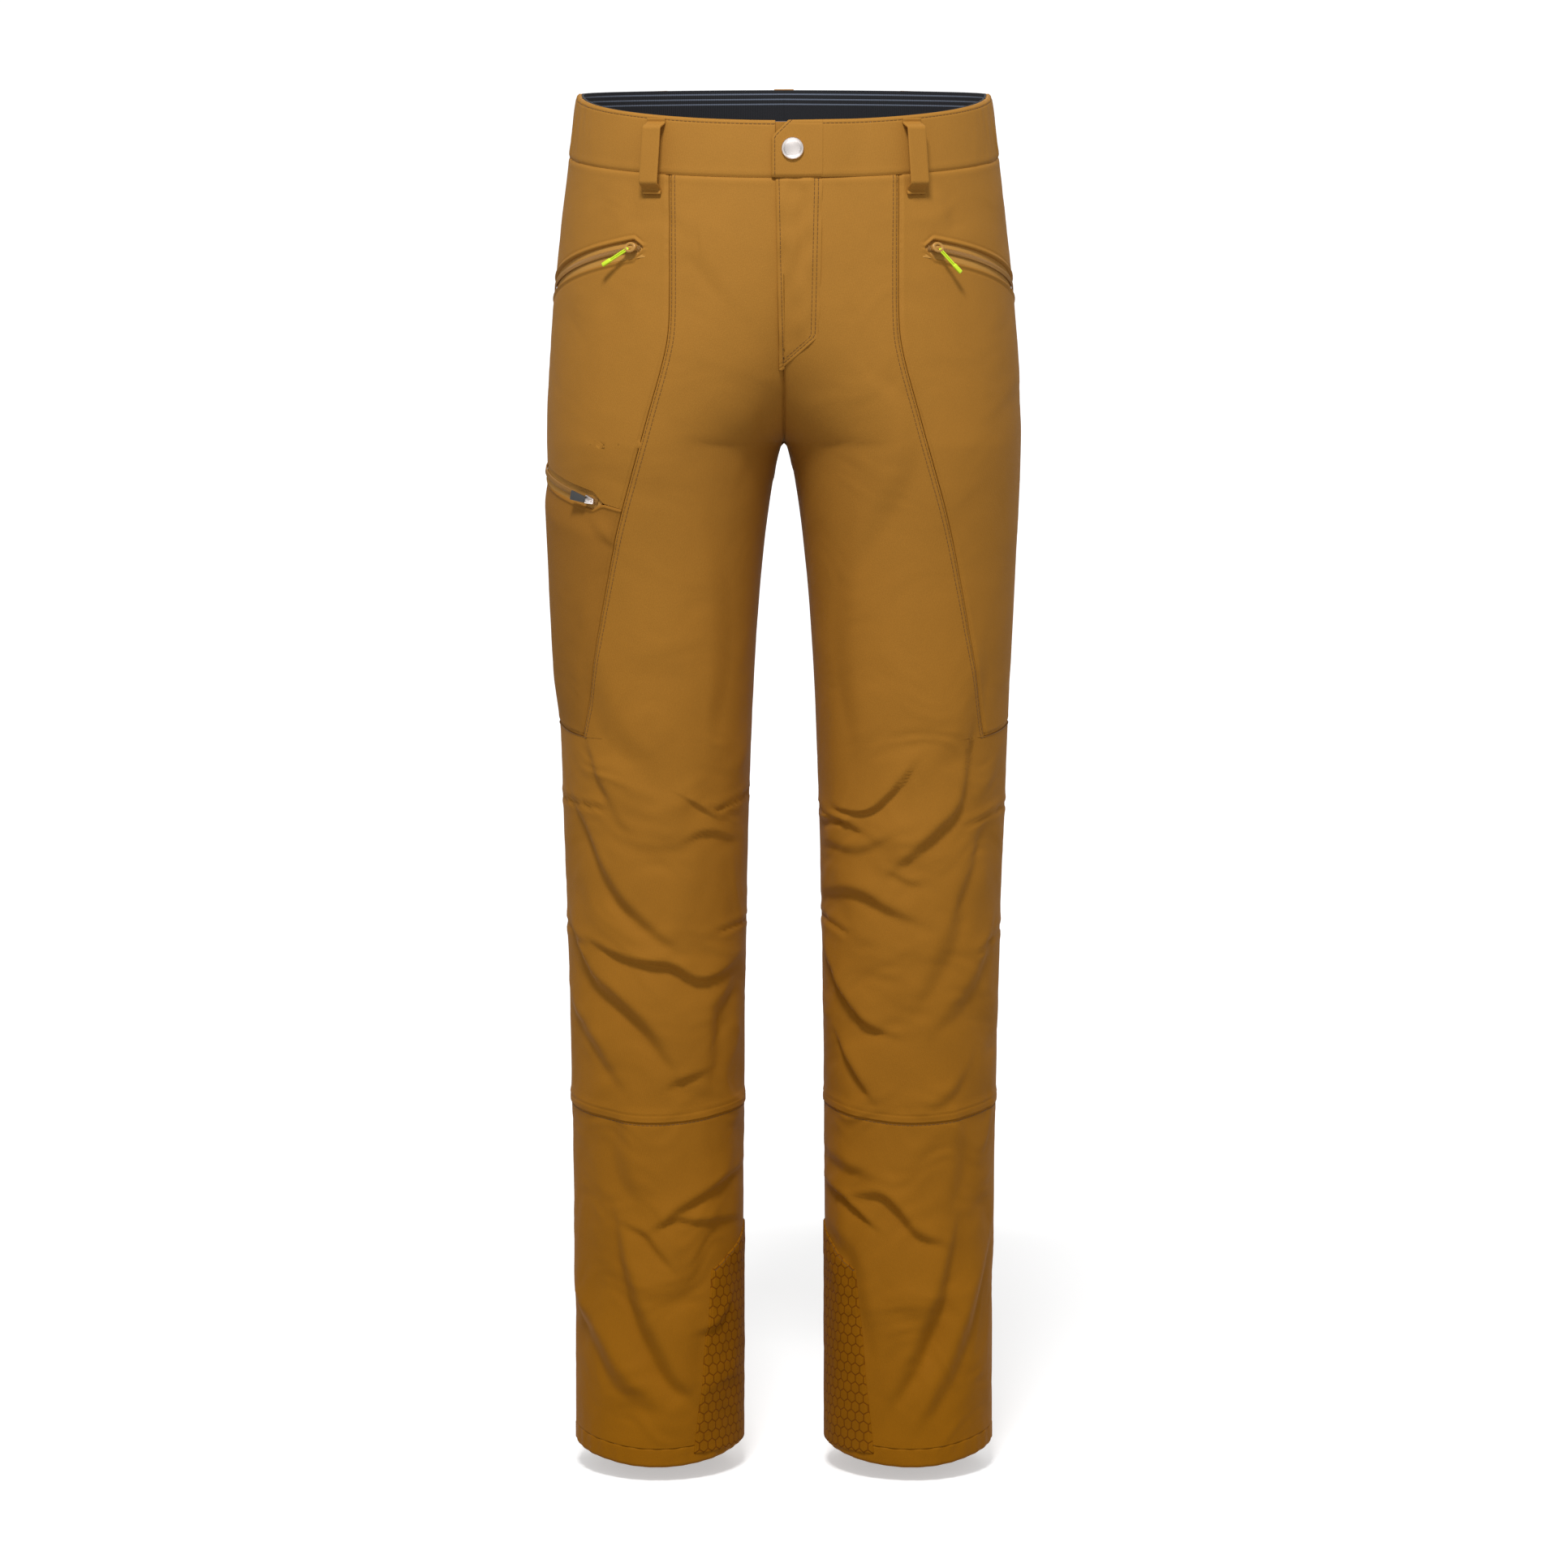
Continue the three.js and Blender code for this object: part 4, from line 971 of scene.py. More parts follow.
FOLD_X = 0.028
left_band = panel("waistband_front_left_cloth", 1, [top_z, band_z],
                  [lambda z: way_at(FOLD_X - 0.0004, z), line(SIDE_SEAM)],
                  seams="br", extra=band_puff, stitched=(("t", 3 * MM),))
right_band = panel("waistband_front_right_cloth", -1, [top_z, band_z],
                   [lambda z: way_at(0.0064, z), line(SIDE_SEAM)],
                   seams="br", extra=band_puff, stitched=(("t", 3 * MM),))
under_band = front_sheet("waistband_underlap", line(-0.0144), line(0.023), lambda w: top_z(w) - 0.001,
                         lambda w: band_z(w) + 0.001, -0.0022, CLOTH)
finish_cloth(left_band, "softshell")
finish_cloth(right_band, "softshell")
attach(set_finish(under_band, "softshell"), "trousers")


def chamfer(z):
    return np.where(z > -0.0356, mix(0.0034, -0.0095, np.clip((-0.023 - z) / 0.0126, 0, 1)), -0.0095)


def tab_shape(x, z, edge):
    rim = sum(-1.4 * MM * np.exp(-((edge[k] / (1.1 * MM)) ** 2)) for k in "lt")
    swell = 0.4 * MM * np.sin(math.pi * np.clip(edge["t"] / 0.046, 0, 1))
    return rim - 1.1 * MM * np.exp(-((edge["b"] / (1.3 * MM)) ** 2)) + swell


tab = front_sheet("waistband_tab_cloth", chamfer, line(FOLD_X + 0.001), top_z,
                  lambda w: band_z(w) + 0.0003, 0.0038,
                  CLOTH, extra=tab_shape, stitched=(("l", 2.6 * MM), ("t", 2.6 * MM)))
finish_cloth(tab, "softshell", body=None)

back_band = panel("waistband_back_left_half", 1, [top_z, band_z],
                  [line(SIDE_SEAM), line(1.0)], seams="bl", extra=band_puff,
                  stitched=(("t", 3 * MM),), gap=0)
back_half = panel("waistband_back_right_half", -1, [top_z, band_z],
                  [line(SIDE_SEAM), line(1.0)], seams="bl", extra=band_puff,
                  stitched=(("t", 3 * MM),), gap=0)
both = [FLAT_SIZES["waistband_back_left_half"], FLAT_SIZES["waistband_back_right_half"]]
bpy.ops.object.select_all(action="DESELECT")
back_band.select_set(True)
back_half.select_set(True)
bpy.context.view_layer.objects.active = back_band
bpy.ops.object.join()
back_band.name = "waistband_back_cloth"
FLAT_SIZES["waistband_back_cloth"] = (both[0][0] + both[1][0], both[0][1], both[0][2] + both[1][2])
finish_cloth(back_band, "softshell")
print("waistband and tab sewn")

# %% Fly flap
def flap_shape(x, z, edge):
    rim = -1.0 * MM * np.exp(-((edge["l"] / (1.1 * MM)) ** 2))
    wander = x - 0.014 - 0.001 * np.sin(z * 60)
    crease = -1.0 * MM * np.exp(-((wander / 0.004) ** 2)) * ease(-0.07, -0.078, z) * ease(-0.15, -0.12, z)
    roll = -1.1 * MM * np.exp(-((edge["t"] / (1.3 * MM)) ** 2))
    return rim + crease + roll + 0.4 * MM * ripple(x * 2, z, MIDDLE)


flap_top, flap_end = (lambda w: band_z(w) - 0.0003), line(-0.2113)
flap = front_sheet("fly_flap_cloth", lambda z: mix(-0.0064, -0.0042, np.clip((-0.068 - z) / 0.13, 0, 1)),
                   lambda z: j_line(z) + 0.0009, flap_top, flap_end, 0.0029, 0.0019, extra=flap_shape,
                   stitched=(("l", 2.6 * MM), ("r", 3.2 * MM), ("r", 6.2 * MM)))
finish_cloth(flap, "softshell", body=None)
print("fly flap sewn")

# %% [markdown]
# ## Straps, tapes and teeth
#
# Belt loops are flat straps whose ends are tacked to the cloth. Pocket zips lie on a circle, which
# is the track their sliders run on: a woven tape below, a coil of interlocked turns above it.

# %% Strap builder
def strap(name, path, across, out, width, thick, round_by=0.5):
    """A flat strap along a path of points; across and out give its directions at each point."""
    half, t = width / 2, thick / 2
    corner = min(t * 0.95, 0.0009) * round_by
    outline = []
    for cx, cy, start in ((half - corner, t - corner, 0), (corner - half, t - corner, 90),
                          (corner - half, corner - t, 180), (half - corner, corner - t, 270)):
        for a in (0, 30, 60, 90):
            r = math.radians(start + a)
            outline.append((cx + corner * math.cos(r), cy + corner * math.sin(r)))
    fine = []
    for (x0, y0), (x1, y1) in zip(outline, outline[1:] + outline[:1]):
        pieces = max(1, int(math.hypot(x1 - x0, y1 - y0) / 0.0016))
        fine += [(mix(x0, x1, k / pieces), mix(y0, y1, k / pieces)) for k in range(pieces)]
    fine = np.array(fine)
    path, across, out = (np.asarray(v, float) for v in (path, across, out))
    rings = path[:, None] + across[:, None] * fine[None, :, :1] + out[:, None] * fine[None, :, 1:]
    rows, cols = rings.shape[:2]
    number = np.arange(rows * cols).reshape(rows, cols)
    number = np.concatenate([number, number[:, :1]], axis=1)
    corners = [number[:-1, :-1], number[:-1, 1:], number[1:, 1:], number[1:, :-1]]
    faces = np.stack(corners, axis=-1).reshape(-1, 4).tolist()
    faces += [number[0, :-1][::-1].tolist(), number[-1, :-1].tolist()]
    mesh = bpy.data.meshes.new(name)
    mesh.from_pydata(rings.reshape(-1, 3).tolist(), [], faces)
    length = np.concatenate([[0], np.cumsum(np.linalg.norm(np.diff(path, axis=0), axis=1))])
    layer = mesh.uv_layers.new(name="cloth")
    loops = np.empty(len(mesh.loops), np.int32)
    mesh.loops.foreach_get("vertex_index", loops)
    flat = np.stack([np.tile(fine[:, 0], rows), np.repeat(length, cols)], axis=-1)
    layer.data.foreach_set("uv", flat[loops].astype(np.float32).ravel())
    mesh.polygons.foreach_set("use_smooth", np.ones(len(mesh.polygons), bool))
    obj = bpy.data.objects.new(name, mesh)
    bpy.context.collection.objects.link(obj)
    bpy.ops.object.select_all(action="DESELECT")
    obj.select_set(True)
    bpy.context.view_layer.objects.active = obj
    bpy.ops.object.mode_set(mode="EDIT")
    bpy.ops.mesh.select_all(action="SELECT")
    bpy.ops.mesh.normals_make_consistent(inside=False)
    bpy.ops.object.mode_set(mode="OBJECT")
    return obj


def unit(v):
    v = np.asarray(v, float)
    return v / np.linalg.norm(v, axis=-1, keepdims=v.ndim > 1)


def spot(side, way, z, lift=0.0):
    """One point over the skin and the direction away from it."""
    w, zz = np.array([float(way)]), np.array([float(z)])
    n = outward(side, w, zz)[0]
    return skin(side, w, zz)[0] + n * lift, n


# %% Belt loops
LOOP_HEIGHT, LOOP_WIDTH, LOOP_GAP, LOOP_STRAP = 0.058, 0.0155, 0.0068, 0.0018


def belt_loop(node, side, way, middle):
    p, n = spot(side, way, middle)
    low, high = spot(side, way, middle - 0.005)[0], spot(side, way, middle + 0.005)[0]
    down = unit((low - high) - n * np.dot(low - high, n))
    across = np.cross(down, n)
    h = LOOP_HEIGHT / 2
    t = np.linspace(-1, 1, 61)
    a = np.abs(t * h)
    bow = LOOP_GAP * (1 - ease(h - 0.0085, h - 0.0035, a)) ** 1.0
    tuck = -0.0007 * np.exp(-(((a - h + 0.0028) / 0.0012) ** 2))
    path = p + np.outer(t * h, down) + np.outer(0.0014 + LOOP_STRAP / 2 + bow + tuck, n)
    slope = np.gradient(path, axis=0)
    out = unit(np.cross(np.tile(across, (len(t), 1)), slope))
    out *= np.sign((out * n).sum(-1))[:, None]
    obj = strap(f"{node}_strap", path, np.tile(across, (len(t), 1)), out, LOOP_WIDTH, LOOP_STRAP, 0.9)
    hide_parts(node)
    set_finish(obj, "softshell")
    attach(obj, "trousers")
    length = float(np.linalg.norm(np.diff(path, axis=0), axis=1).sum())
    FLAT_SIZES[obj.name] = (LOOP_WIDTH, length, LOOP_WIDTH * length)
    return obj, (p, n, down, across)


LOOP_PLACES = {}
for side, word in ((1, "left"), (-1, "right")):
    LOOP_PLACES[f"front_{word}"] = belt_loop(f"belt_loop_front_{word}", side,
                                             float(way_at(0.098, -0.05)), -0.050)
    LOOP_PLACES[f"back_{word}"] = belt_loop(f"belt_loop_back_{word}", side, 0.79, -0.024)
LOOP_PLACES["back_middle"] = belt_loop("belt_loop_back_middle", 1, 0.99999, -0.022)
print("five belt loops,", LOOP_WIDTH * 1000, "mm wide")

# %% Inner elastic
elastic_rows = [lambda w: top_z(w) + 0.0004, lambda w: band_z(w) + 0.006]
elastic = panel("waist_elastic_left_half", 1, elastic_rows, [line(0.2), line(1.0)],
                seams="", lift=-0.0039, thick=0.0014, gap=0, ruffled=False)
elastic_half = panel("waist_elastic_right_half", -1, elastic_rows, [line(0.2), line(1.0)],
                     seams="", lift=-0.0039, thick=0.0014, gap=0, ruffled=False)
w, l, area = FLAT_SIZES["waist_elastic_left_half"]
bpy.ops.object.select_all(action="DESELECT")
elastic.select_set(True)
elastic_half.select_set(True)
bpy.context.view_layer.objects.active = elastic
bpy.ops.object.join()
elastic.name = "waist_elastic_cloth"
heights = elastic.data.uv_layers["cloth"].data
for k in range(len(heights)):  # along the belt, and down from its top edge
    u, v = heights[k].uv
    heights[k].uv = (u, float(top_z(np.array(u / AROUND))) - v)
FLAT_SIZES["waist_elastic_cloth"] = (2 * w, l, 2 * area)
finish_cloth(elastic, "elastic")
print("inner elastic", round(2 * w, 3), "m long")

# %% Pocket zip tracks
def track(side, points):
    """The circle through three points of the skin."""
    a, b, c = (spot(side, w, z)[0] for w, z in points)
    ab, ac = b - a, c - a
    normal = np.cross(ab, ac)
    towards = np.cross(normal, ab) * ac.dot(ac) + np.cross(ac, normal) * ab.dot(ab)
    centre = a + towards / (2 * normal.dot(normal))
    axis, radius = unit(normal), np.linalg.norm(a - centre)
    radial = unit(a - centre)
    tangent = np.cross(axis, radial)
    end = c - centre
    return centre, radius, axis, radial, tangent, math.atan2(end.dot(tangent), end.dot(radial))


def on_track(arc, along, height, aside=0.0):
    centre, radius, axis, radial, tangent, _ = arc
    turn = np.asarray(along, float)[..., None] / radius
    h = radius + np.asarray(height, float)[..., None]
    sideways = axis * np.asarray(aside, float)[..., None]
    return centre + radial * h * np.cos(turn) + tangent * h * np.sin(turn) + sideways


def many(name, points, sizes, firsts, seconds, slot_name, body, node=None):
    """Hundreds of small rounded bars as one mesh: a six-sided barrel for each."""
    ring = [(math.cos(a), math.sin(a)) for a in np.linspace(0, 2 * math.pi, 6, endpoint=False) + math.pi / 6]
    shares = [(-0.5, 0.55), (-0.38, 0.95), (0.38, 0.95), (0.5, 0.55)]
    verts, faces = [], []
    for p, (length, width, height), first, second in zip(points, sizes, firsts, seconds):
        third = np.cross(first, second)
        base = len(verts)
        for along, share in shares:
            centre = p + first * length * along
            for c, s in ring:
                aside = second * width / 2 * share * c
                verts.append(tuple(centre + aside + third * height / 2 * share * s))
        for r in range(3):
            for k in range(6):
                a, b = base + r * 6 + k, base + r * 6 + (k + 1) % 6
                faces.append((a, b, b + 6, a + 6))
        faces.append(tuple(base + k for k in range(5, -1, -1)))
        faces.append(tuple(base + 18 + k for k in range(6)))
    mesh = bpy.data.meshes.new(name)
    mesh.from_pydata(verts, [], faces)
    mesh.polygons.foreach_set("use_smooth", np.ones(len(faces), bool))
    obj = bpy.data.objects.new(name, mesh)
    bpy.context.collection.objects.link(obj)
    if node:
        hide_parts(node)
    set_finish(obj, slot_name)
    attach(obj, body)
    return obj


def tape_and_coil(name, arc, body="trousers"):
    length = arc[1] * arc[5]
    t = np.linspace(-0.001, length + 0.001, 90)
    middle = on_track(arc, t, np.full(t.shape, -0.0017))
    out = unit(middle - arc[0])
    tape = strap(f"{name}_tape_woven", middle, np.tile(arc[2], (len(t), 1)), out, 0.0150, 0.0010, 0.6)
    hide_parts(f"{name}_tape")
    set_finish(tape, "zip_tape")
    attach(tape, body)
    FLAT_SIZES[tape.name] = (0.0150, length + 0.002, 0.0150 * (length + 0.002))
    pitch = 0.00105
    t = np.arange(0.003, length - 0.003, pitch)
    points, sizes, firsts, seconds = [], [], [], []
    for k, at in enumerate(t):
        for s in (-1, 1):
            place = on_track(arc, at + (pitch / 2 if s > 0 else 0), -0.0001, s * 0.00085)
            along = unit(on_track(arc, at + 0.001, 0.0) - on_track(arc, at, 0.0))
            points.append(place)
            sizes.append((0.0026, 0.00078, 0.0013))
            firsts.append(unit(arc[2] + 0.16 * s * along))
            seconds.append(unit(along - arc[2] * 0.16 * s))
    return many(f"{name}_coil_turns", points, sizes, firsts, seconds, "zip_coil", body, f"{name}_coil")


HAND_ARC = {side: track(side, HAND_ZIP) for side in (1, -1)}
THIGH_ARC = track(-1, THIGH_ZIP)
for side, word in ((1, "left"), (-1, "right")):
    tape_and_coil(f"hand_zip_{word}", HAND_ARC[side])
tape_and_coil("thigh_zip", THIGH_ARC)
print("hand zip", round(HAND_ARC[1][1] * HAND_ARC[1][5] * 1000, 1), "mm long")
print("thigh zip", round(THIGH_ARC[1] * THIGH_ARC[5] * 1000, 1), "mm long")

# %% [markdown]
# ## Sliders, pulls and the snap
#
# The small hard pieces start as a box, a cylinder or a ring and are bevelled, inset and extruded
# into shape, then turned to lie on the cloth.

# %% Hard-piece tools
def activate(obj):
    bpy.ops.object.select_all(action="DESELECT")
    obj.select_set(True)
    bpy.context.view_layer.objects.active = obj
    return obj


def apply_all(obj):
    activate(obj)
    for m in list(obj.modifiers):
        bpy.ops.object.modifier_apply(modifier=m.name)
    return obj


def rounded_box(size, place=(0, 0, 0), bevel=0.0004, segments=3, taper=None):
    """A box with rounded edges; taper narrows its far end."""
    bpy.ops.object.select_all(action="DESELECT")
    bpy.ops.mesh.primitive_cube_add(size=1, location=(0, 0, 0))
    obj = bpy.context.object
    for v in obj.data.vertices:
        if taper and v.co.x < 0:
            v.co.y *= taper
        v.co = Vector((v.co.x * size[0] + place[0], v.co.y * size[1] + place[1], v.co.z * size[2] + place[2]))
    m = obj.modifiers.new("round", "BEVEL")
    m.width, m.segments, m.limit_method = bevel, segments, "NONE"
    apply_all(obj)
    bpy.ops.object.shade_smooth_by_angle(angle=math.radians(40))
    return obj


def ring_of(major, minor, place=(0, 0, 0), turn=(0, 0, 0), stretch=1.0):
    bpy.ops.object.select_all(action="DESELECT")
    bpy.ops.mesh.primitive_torus_add(major_radius=major, minor_radius=minor, major_segments=36,
                                     minor_segments=14, location=place, rotation=turn)
    obj = bpy.context.object
    obj.scale = (stretch, 1, 1)
    bpy.ops.object.transform_apply(location=True, rotation=True, scale=True)
    bpy.ops.object.shade_smooth()
    return obj


def welded(name, parts):
    """Joins parts into one piece."""
    bpy.ops.object.select_all(action="DESELECT")
    for p in parts:
        p.select_set(True)
    bpy.context.view_layer.objects.active = parts[0]
    if len(parts) > 1:
        bpy.ops.object.join()
    parts[0].name = name
    return parts[0]


def lay(obj, origin, first, third, node, slot_name, body):
    """Turns a piece made flat at the origin to lie along first with its top towards third."""
    x, z = unit(first - third * np.dot(first, third)), unit(third)
    y = np.cross(z, x)
    rows = [(x[k], y[k], z[k], origin[k]) for k in range(3)]
    m = Matrix((*rows, (0, 0, 0, 1)))
    obj.data.transform(m)
    if node:
        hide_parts(*([node] if isinstance(node, str) else node))
    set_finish(obj, slot_name)
    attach(obj, body)
    return obj


def track_pose(arc, along, height):
    p = on_track(arc, along, height)
    out = unit(on_track(arc, along, 0.01) - on_track(arc, along, 0.0))
    first = unit(on_track(arc, along + 0.001, 0.0) - on_track(arc, along - 0.001, 0.0))
    return p, first, out


# %% Hand pocket sliders and neon pulls
PULL_DROOP = {1: 42, -1: 25}  # degrees that each cord hangs below its zip, by side

for side, word in ((1, "left"), (-1, "right")):
    arc = HAND_ARC[side]
    origin, first, out = track_pose(arc, 0.009, 0.0011)
    plate = rounded_box((0.0085, 0.0066, 0.0022), (0, 0, 0.0011), 0.0008, 4, taper=0.62)
    hump = rounded_box((0.0050, 0.0030, 0.0014), (0.0002, 0, 0.0027), 0.0006, 3)
    eye = ring_of(0.0030, 0.0012, (0.0002, 0, 0.0032), (0, 0, 0), 1.25)
    slider = welded(f"hand_slider_{word}_cast", [plate, hump, eye])
    lay(slider, origin, first, out, f"hand_zip_{word}_slider", "slider_paint", f"hand_slider_{word}")
    parts = []
    for s in (-1, 1):
        bpy.ops.object.select_all(action="DESELECT")
        bpy.ops.mesh.primitive_cylinder_add(vertices=14, radius=0.00068, depth=0.0158,
                                            location=(0.0107, s * 0.00082, 0.0036),
                                            rotation=(0, math.radians(90), 0))
        bpy.ops.object.transform_apply(location=True, rotation=True, scale=True)
        bpy.ops.object.shade_smooth_by_angle(angle=math.radians(50))
        parts.append(bpy.context.object)
    loop = ring_of(0.00082, 0.00066, (0.0029, 0, 0.0036))
    cord = welded(f"hand_pull_{word}_cord", parts + [loop])
    droop = Matrix.Rotation(-side * math.radians(PULL_DROOP[side]), 4, "Z")
    cord.data.transform(droop)
    lay(cord, origin, first, out, f"hand_zip_{word}_pull_cord", "neon", f"hand_pull_{word}")
    end = rounded_box((0.0082, 0.0034, 0.0024), (0.0223, 0, 0.0037), 0.0009, 4)
    end.data.transform(droop)
    lay(end, origin, first, out, f"hand_zip_{word}_pull_end", "neon", f"hand_pull_{word}")
    end.name = f"hand_pull_{word}_end"
print("two ochre sliders with neon pulls")

# %% Thigh pocket slider and puller
origin, first, out = track_pose(THIGH_ARC, 0.009, 0.0011)
plate = rounded_box((0.0085, 0.0070, 0.0022), (0, 0, 0.0011), 0.0007, 4, taper=0.6)
bridge = rounded_box((0.0062, 0.0022, 0.0016), (0, 0, 0.0030), 0.0006, 3)
slider = welded("thigh_slider_cast", [plate, bridge])
lay(slider, origin, first, out, "thigh_zip_slider", "steel", "thigh_slider")
bpy.ops.object.select_all(action="DESELECT")
bpy.ops.mesh.primitive_cube_add(size=1, location=(0, 0, 0))
puller = bpy.context.object
for v in puller.data.vertices:
    wide = 0.0075 if v.co.x > 0 else 0.0046
    v.co = Vector((0.00985 + v.co.x * 0.0140, v.co.y * wide, 0.0039 + v.co.z * 0.0021))
bpy.ops.object.mode_set(mode="EDIT")
bpy.ops.mesh.select_mode(type="FACE")
bpy.ops.mesh.select_all(action="DESELECT")
bpy.ops.object.mode_set(mode="OBJECT")
for f in puller.data.polygons:
    f.select = f.normal.z > 0.9
bpy.ops.object.mode_set(mode="EDIT")
bpy.ops.mesh.inset(thickness=0.0011, depth=-0.00035)
bpy.ops.object.mode_set(mode="OBJECT")
m = puller.modifiers.new("round", "BEVEL")
m.width, m.segments, m.limit_method, m.angle_limit = 0.0005, 3, "ANGLE", math.radians(30)
apply_all(puller)
bpy.ops.object.shade_smooth_by_angle(angle=math.radians(40))
puller.name = "thigh_puller_moulded"
lay(puller, origin, first, out, "thigh_zip_pull_end", "puller", "thigh_pull")
print("thigh slider and puller")

# %% Snap
def turned(name, profile):
    """Spins a profile of (radius, height) once round."""
    mesh = bpy.data.meshes.new(name)
    mesh.from_pydata([(r, 0, h) for r, h in profile], [(k, k + 1) for k in range(len(profile) - 1)], [])
    obj = bpy.data.objects.new(name, mesh)
    bpy.context.collection.objects.link(obj)
    activate(obj)
    bpy.ops.object.mode_set(mode="EDIT")
    bpy.ops.mesh.select_all(action="SELECT")
    bpy.ops.mesh.spin(steps=56, angle=2 * math.pi, center=(0, 0, 0), axis=(0, 0, 1))
    bpy.ops.mesh.select_all(action="SELECT")
    bpy.ops.mesh.remove_doubles(threshold=0.000002)
    bpy.ops.mesh.normals_make_consistent(inside=False)
    bpy.ops.object.mode_set(mode="OBJECT")
    bpy.ops.object.shade_smooth_by_angle(angle=math.radians(35))
    return obj


SNAP_P, SNAP_N = spot(1, float(way_at(0.0064, -0.0446)), -0.0446)
RIGHTWARD = np.array([1.0, 0, 0])
cap = turned("snap_cap_pressed", [
    (0, 0.0061), (0.0054, 0.00605), (0.0059, 0.0059), (0.0063, 0.0061), (0.0072, 0.0066), (0.0079, 0.00655),
    (0.0084, 0.0060), (0.0085, 0.0054), (0.0083, 0.0046), (0.0078, 0.0043), (0, 0.0043)])
lay(cap, SNAP_P, RIGHTWARD, SNAP_N, "snap_cap", "steel", "fly_front")
socket = turned("snap_socket_pressed", [
    (0.0032, -0.0006), (0.0050, -0.0006), (0.0056, -0.0002), (0.0056, 0.0005), (0.0050, 0.0009),
    (0.0032, 0.0009), (0.0032, -0.0006)])
lay(socket, SNAP_P, RIGHTWARD, SNAP_N, "snap_socket", "steel", "fly_front")
stud = turned("snap_stud_pressed", [
    (0, -0.00175), (0.0044, -0.00175), (0.0046, -0.0013), (0.0044, -0.00095), (0.0027, -0.0009),
    (0.0025, -0.0004), (0.0027, 0.0001), (0.0023, 0.0004), (0, 0.0004)])
lay(stud, SNAP_P, RIGHTWARD, SNAP_N, "snap_stud", "steel", "trousers")
under = turned("snap_back_pressed", [
    (0, -0.0063), (0.0046, -0.0063), (0.0050, -0.0059), (0.0050, -0.0053), (0, -0.0053)])
lay(under, SNAP_P, RIGHTWARD, SNAP_N, "snap_back", "steel", "trousers")
print("snap cap", 17, "mm across")

# %% Fly zip
def fly_place(z, height, x):
    p, n = front_grid(np.array([x]), np.array([z]))
    return p[0] + n[0] * height


FLY_TOP, FLY_LENGTH = -0.0714, 0.122
fly_head = fly_place(FLY_TOP, -0.010, 0.009)
fly_foot = fly_place(FLY_TOP - FLY_LENGTH, -0.013, 0.009)
fly_foot[0] = fly_head[0]
FLY_DOWN = unit(fly_foot - fly_head)
FLY_OUT = np.cross(FLY_DOWN, RIGHTWARD)
FLY_SIDE = np.cross(FLY_OUT, FLY_DOWN)


def fly_point(down, across, height):
    return fly_head + FLY_DOWN * down + FLY_SIDE * across + FLY_OUT * height


def fly_strap(name, node, across, width, thick, height, length, slot_name):
    t = np.linspace(0, length, 40)
    path = np.array([fly_point(d, across, height) for d in t])
    obj = strap(name, path, np.tile(FLY_SIDE, (40, 1)), np.tile(FLY_OUT, (40, 1)), width, thick, 0.6)
    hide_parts(node)
    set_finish(obj, slot_name)
    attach(obj, "trousers")
    FLAT_SIZES[name] = (width, length, width * length)
    return obj


fly_strap("fly_underlap_cloth", "fly_underlap", -0.001, 0.042, 0.0014, -0.00105, 0.126, "lining")
side_sign = 1 if FLY_SIDE[0] > 0 else -1
for word, s in (("left", side_sign), ("right", -side_sign)):
    fly_strap(f"fly_tape_{word}_woven", f"fly_tape_{word}", s * 0.00617, 0.0116, 0.001, 0.0005, 0.120,
              "zip_tape")
    downs = np.arange(0.0025, 0.1145, 0.0017) + (0.00085 if word == "left" else 0)
    points = [fly_point(d, s * 0.0009, 0.0024) for d in downs]
    many(f"fly_teeth_{word}_cast", points, [(0.0026, 0.0012, 0.0020)] * len(points), [FLY_SIDE] * len(points),
         [FLY_DOWN] * len(points), "zip_coil", "trousers", f"fly_teeth_{word}")
stop = rounded_box((0.0030, 0.0064, 0.0022), (0, 0, 0), 0.0005)
stop.name = "fly_stop_cast"
lay(stop, fly_point(0.117, 0, 0.00245), FLY_DOWN, FLY_OUT, "fly_bottom_stop", "steel", "trousers")
plate = rounded_box((0.0095, 0.0082, 0.0024), (0, 0, 0), 0.0008, 4, taper=0.6)
plate.name = "fly_slider_cast"
lay(plate, fly_point(0.00575, 0, 0.0051), FLY_DOWN, FLY_OUT, "fly_slider", "steel", "fly_slider")
tag = rounded_box((0.0200, 0.0054, 0.0012), (0, 0, 0), 0.0005, 3, taper=0.62)
tag.name = "fly_pull_tag"
lay(tag, fly_point(0.014, 0, 0.00725), FLY_DOWN, FLY_OUT, "fly_pull", "steel", "fly_slider")
print("fly zip", FLY_LENGTH * 1000, "mm long under the flap")

# %% Pocket bags
for side, word in ((1, "left"), (-1, "right")):
    bag = panel(f"hand_pocket_bag_{word}_cloth", side, [lambda w: hand_z(w) + 0.003, line(-RISE)],
                [lambda z: way_at(0.108, z), line(0.52)], seams="", lift=-0.0052, thick=0.002,
                step=0.006, ruffled=False)
    finish_cloth(bag, "lining")


def bag_start(z):
    """The bag's front edge: upright, then along the thigh seam."""
    return way_at(np.maximum(0.132, smooth(THIGH_SEAM[:, 0], THIGH_SEAM[:, 1], z)), z)


bag = panel("thigh_pocket_bag_cloth", -1, [lambda w: thigh_z(w) + 0.002, line(-0.470)],
            [bag_start, line(0.52)], seams="", lift=-0.0046, thick=0.002, step=0.006, ruffled=False)
finish_cloth(bag, "lining")
print("three pocket bags")

# %% [markdown]
# ## The fly flap and tab
#
# The flap and the tab have their placing written into their own points.

# %% Flap and tab in place
for piece in (tab, flap):
    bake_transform(piece)
print("flap and tab bend between", 22.5, "and", 30, "mm from the middle")

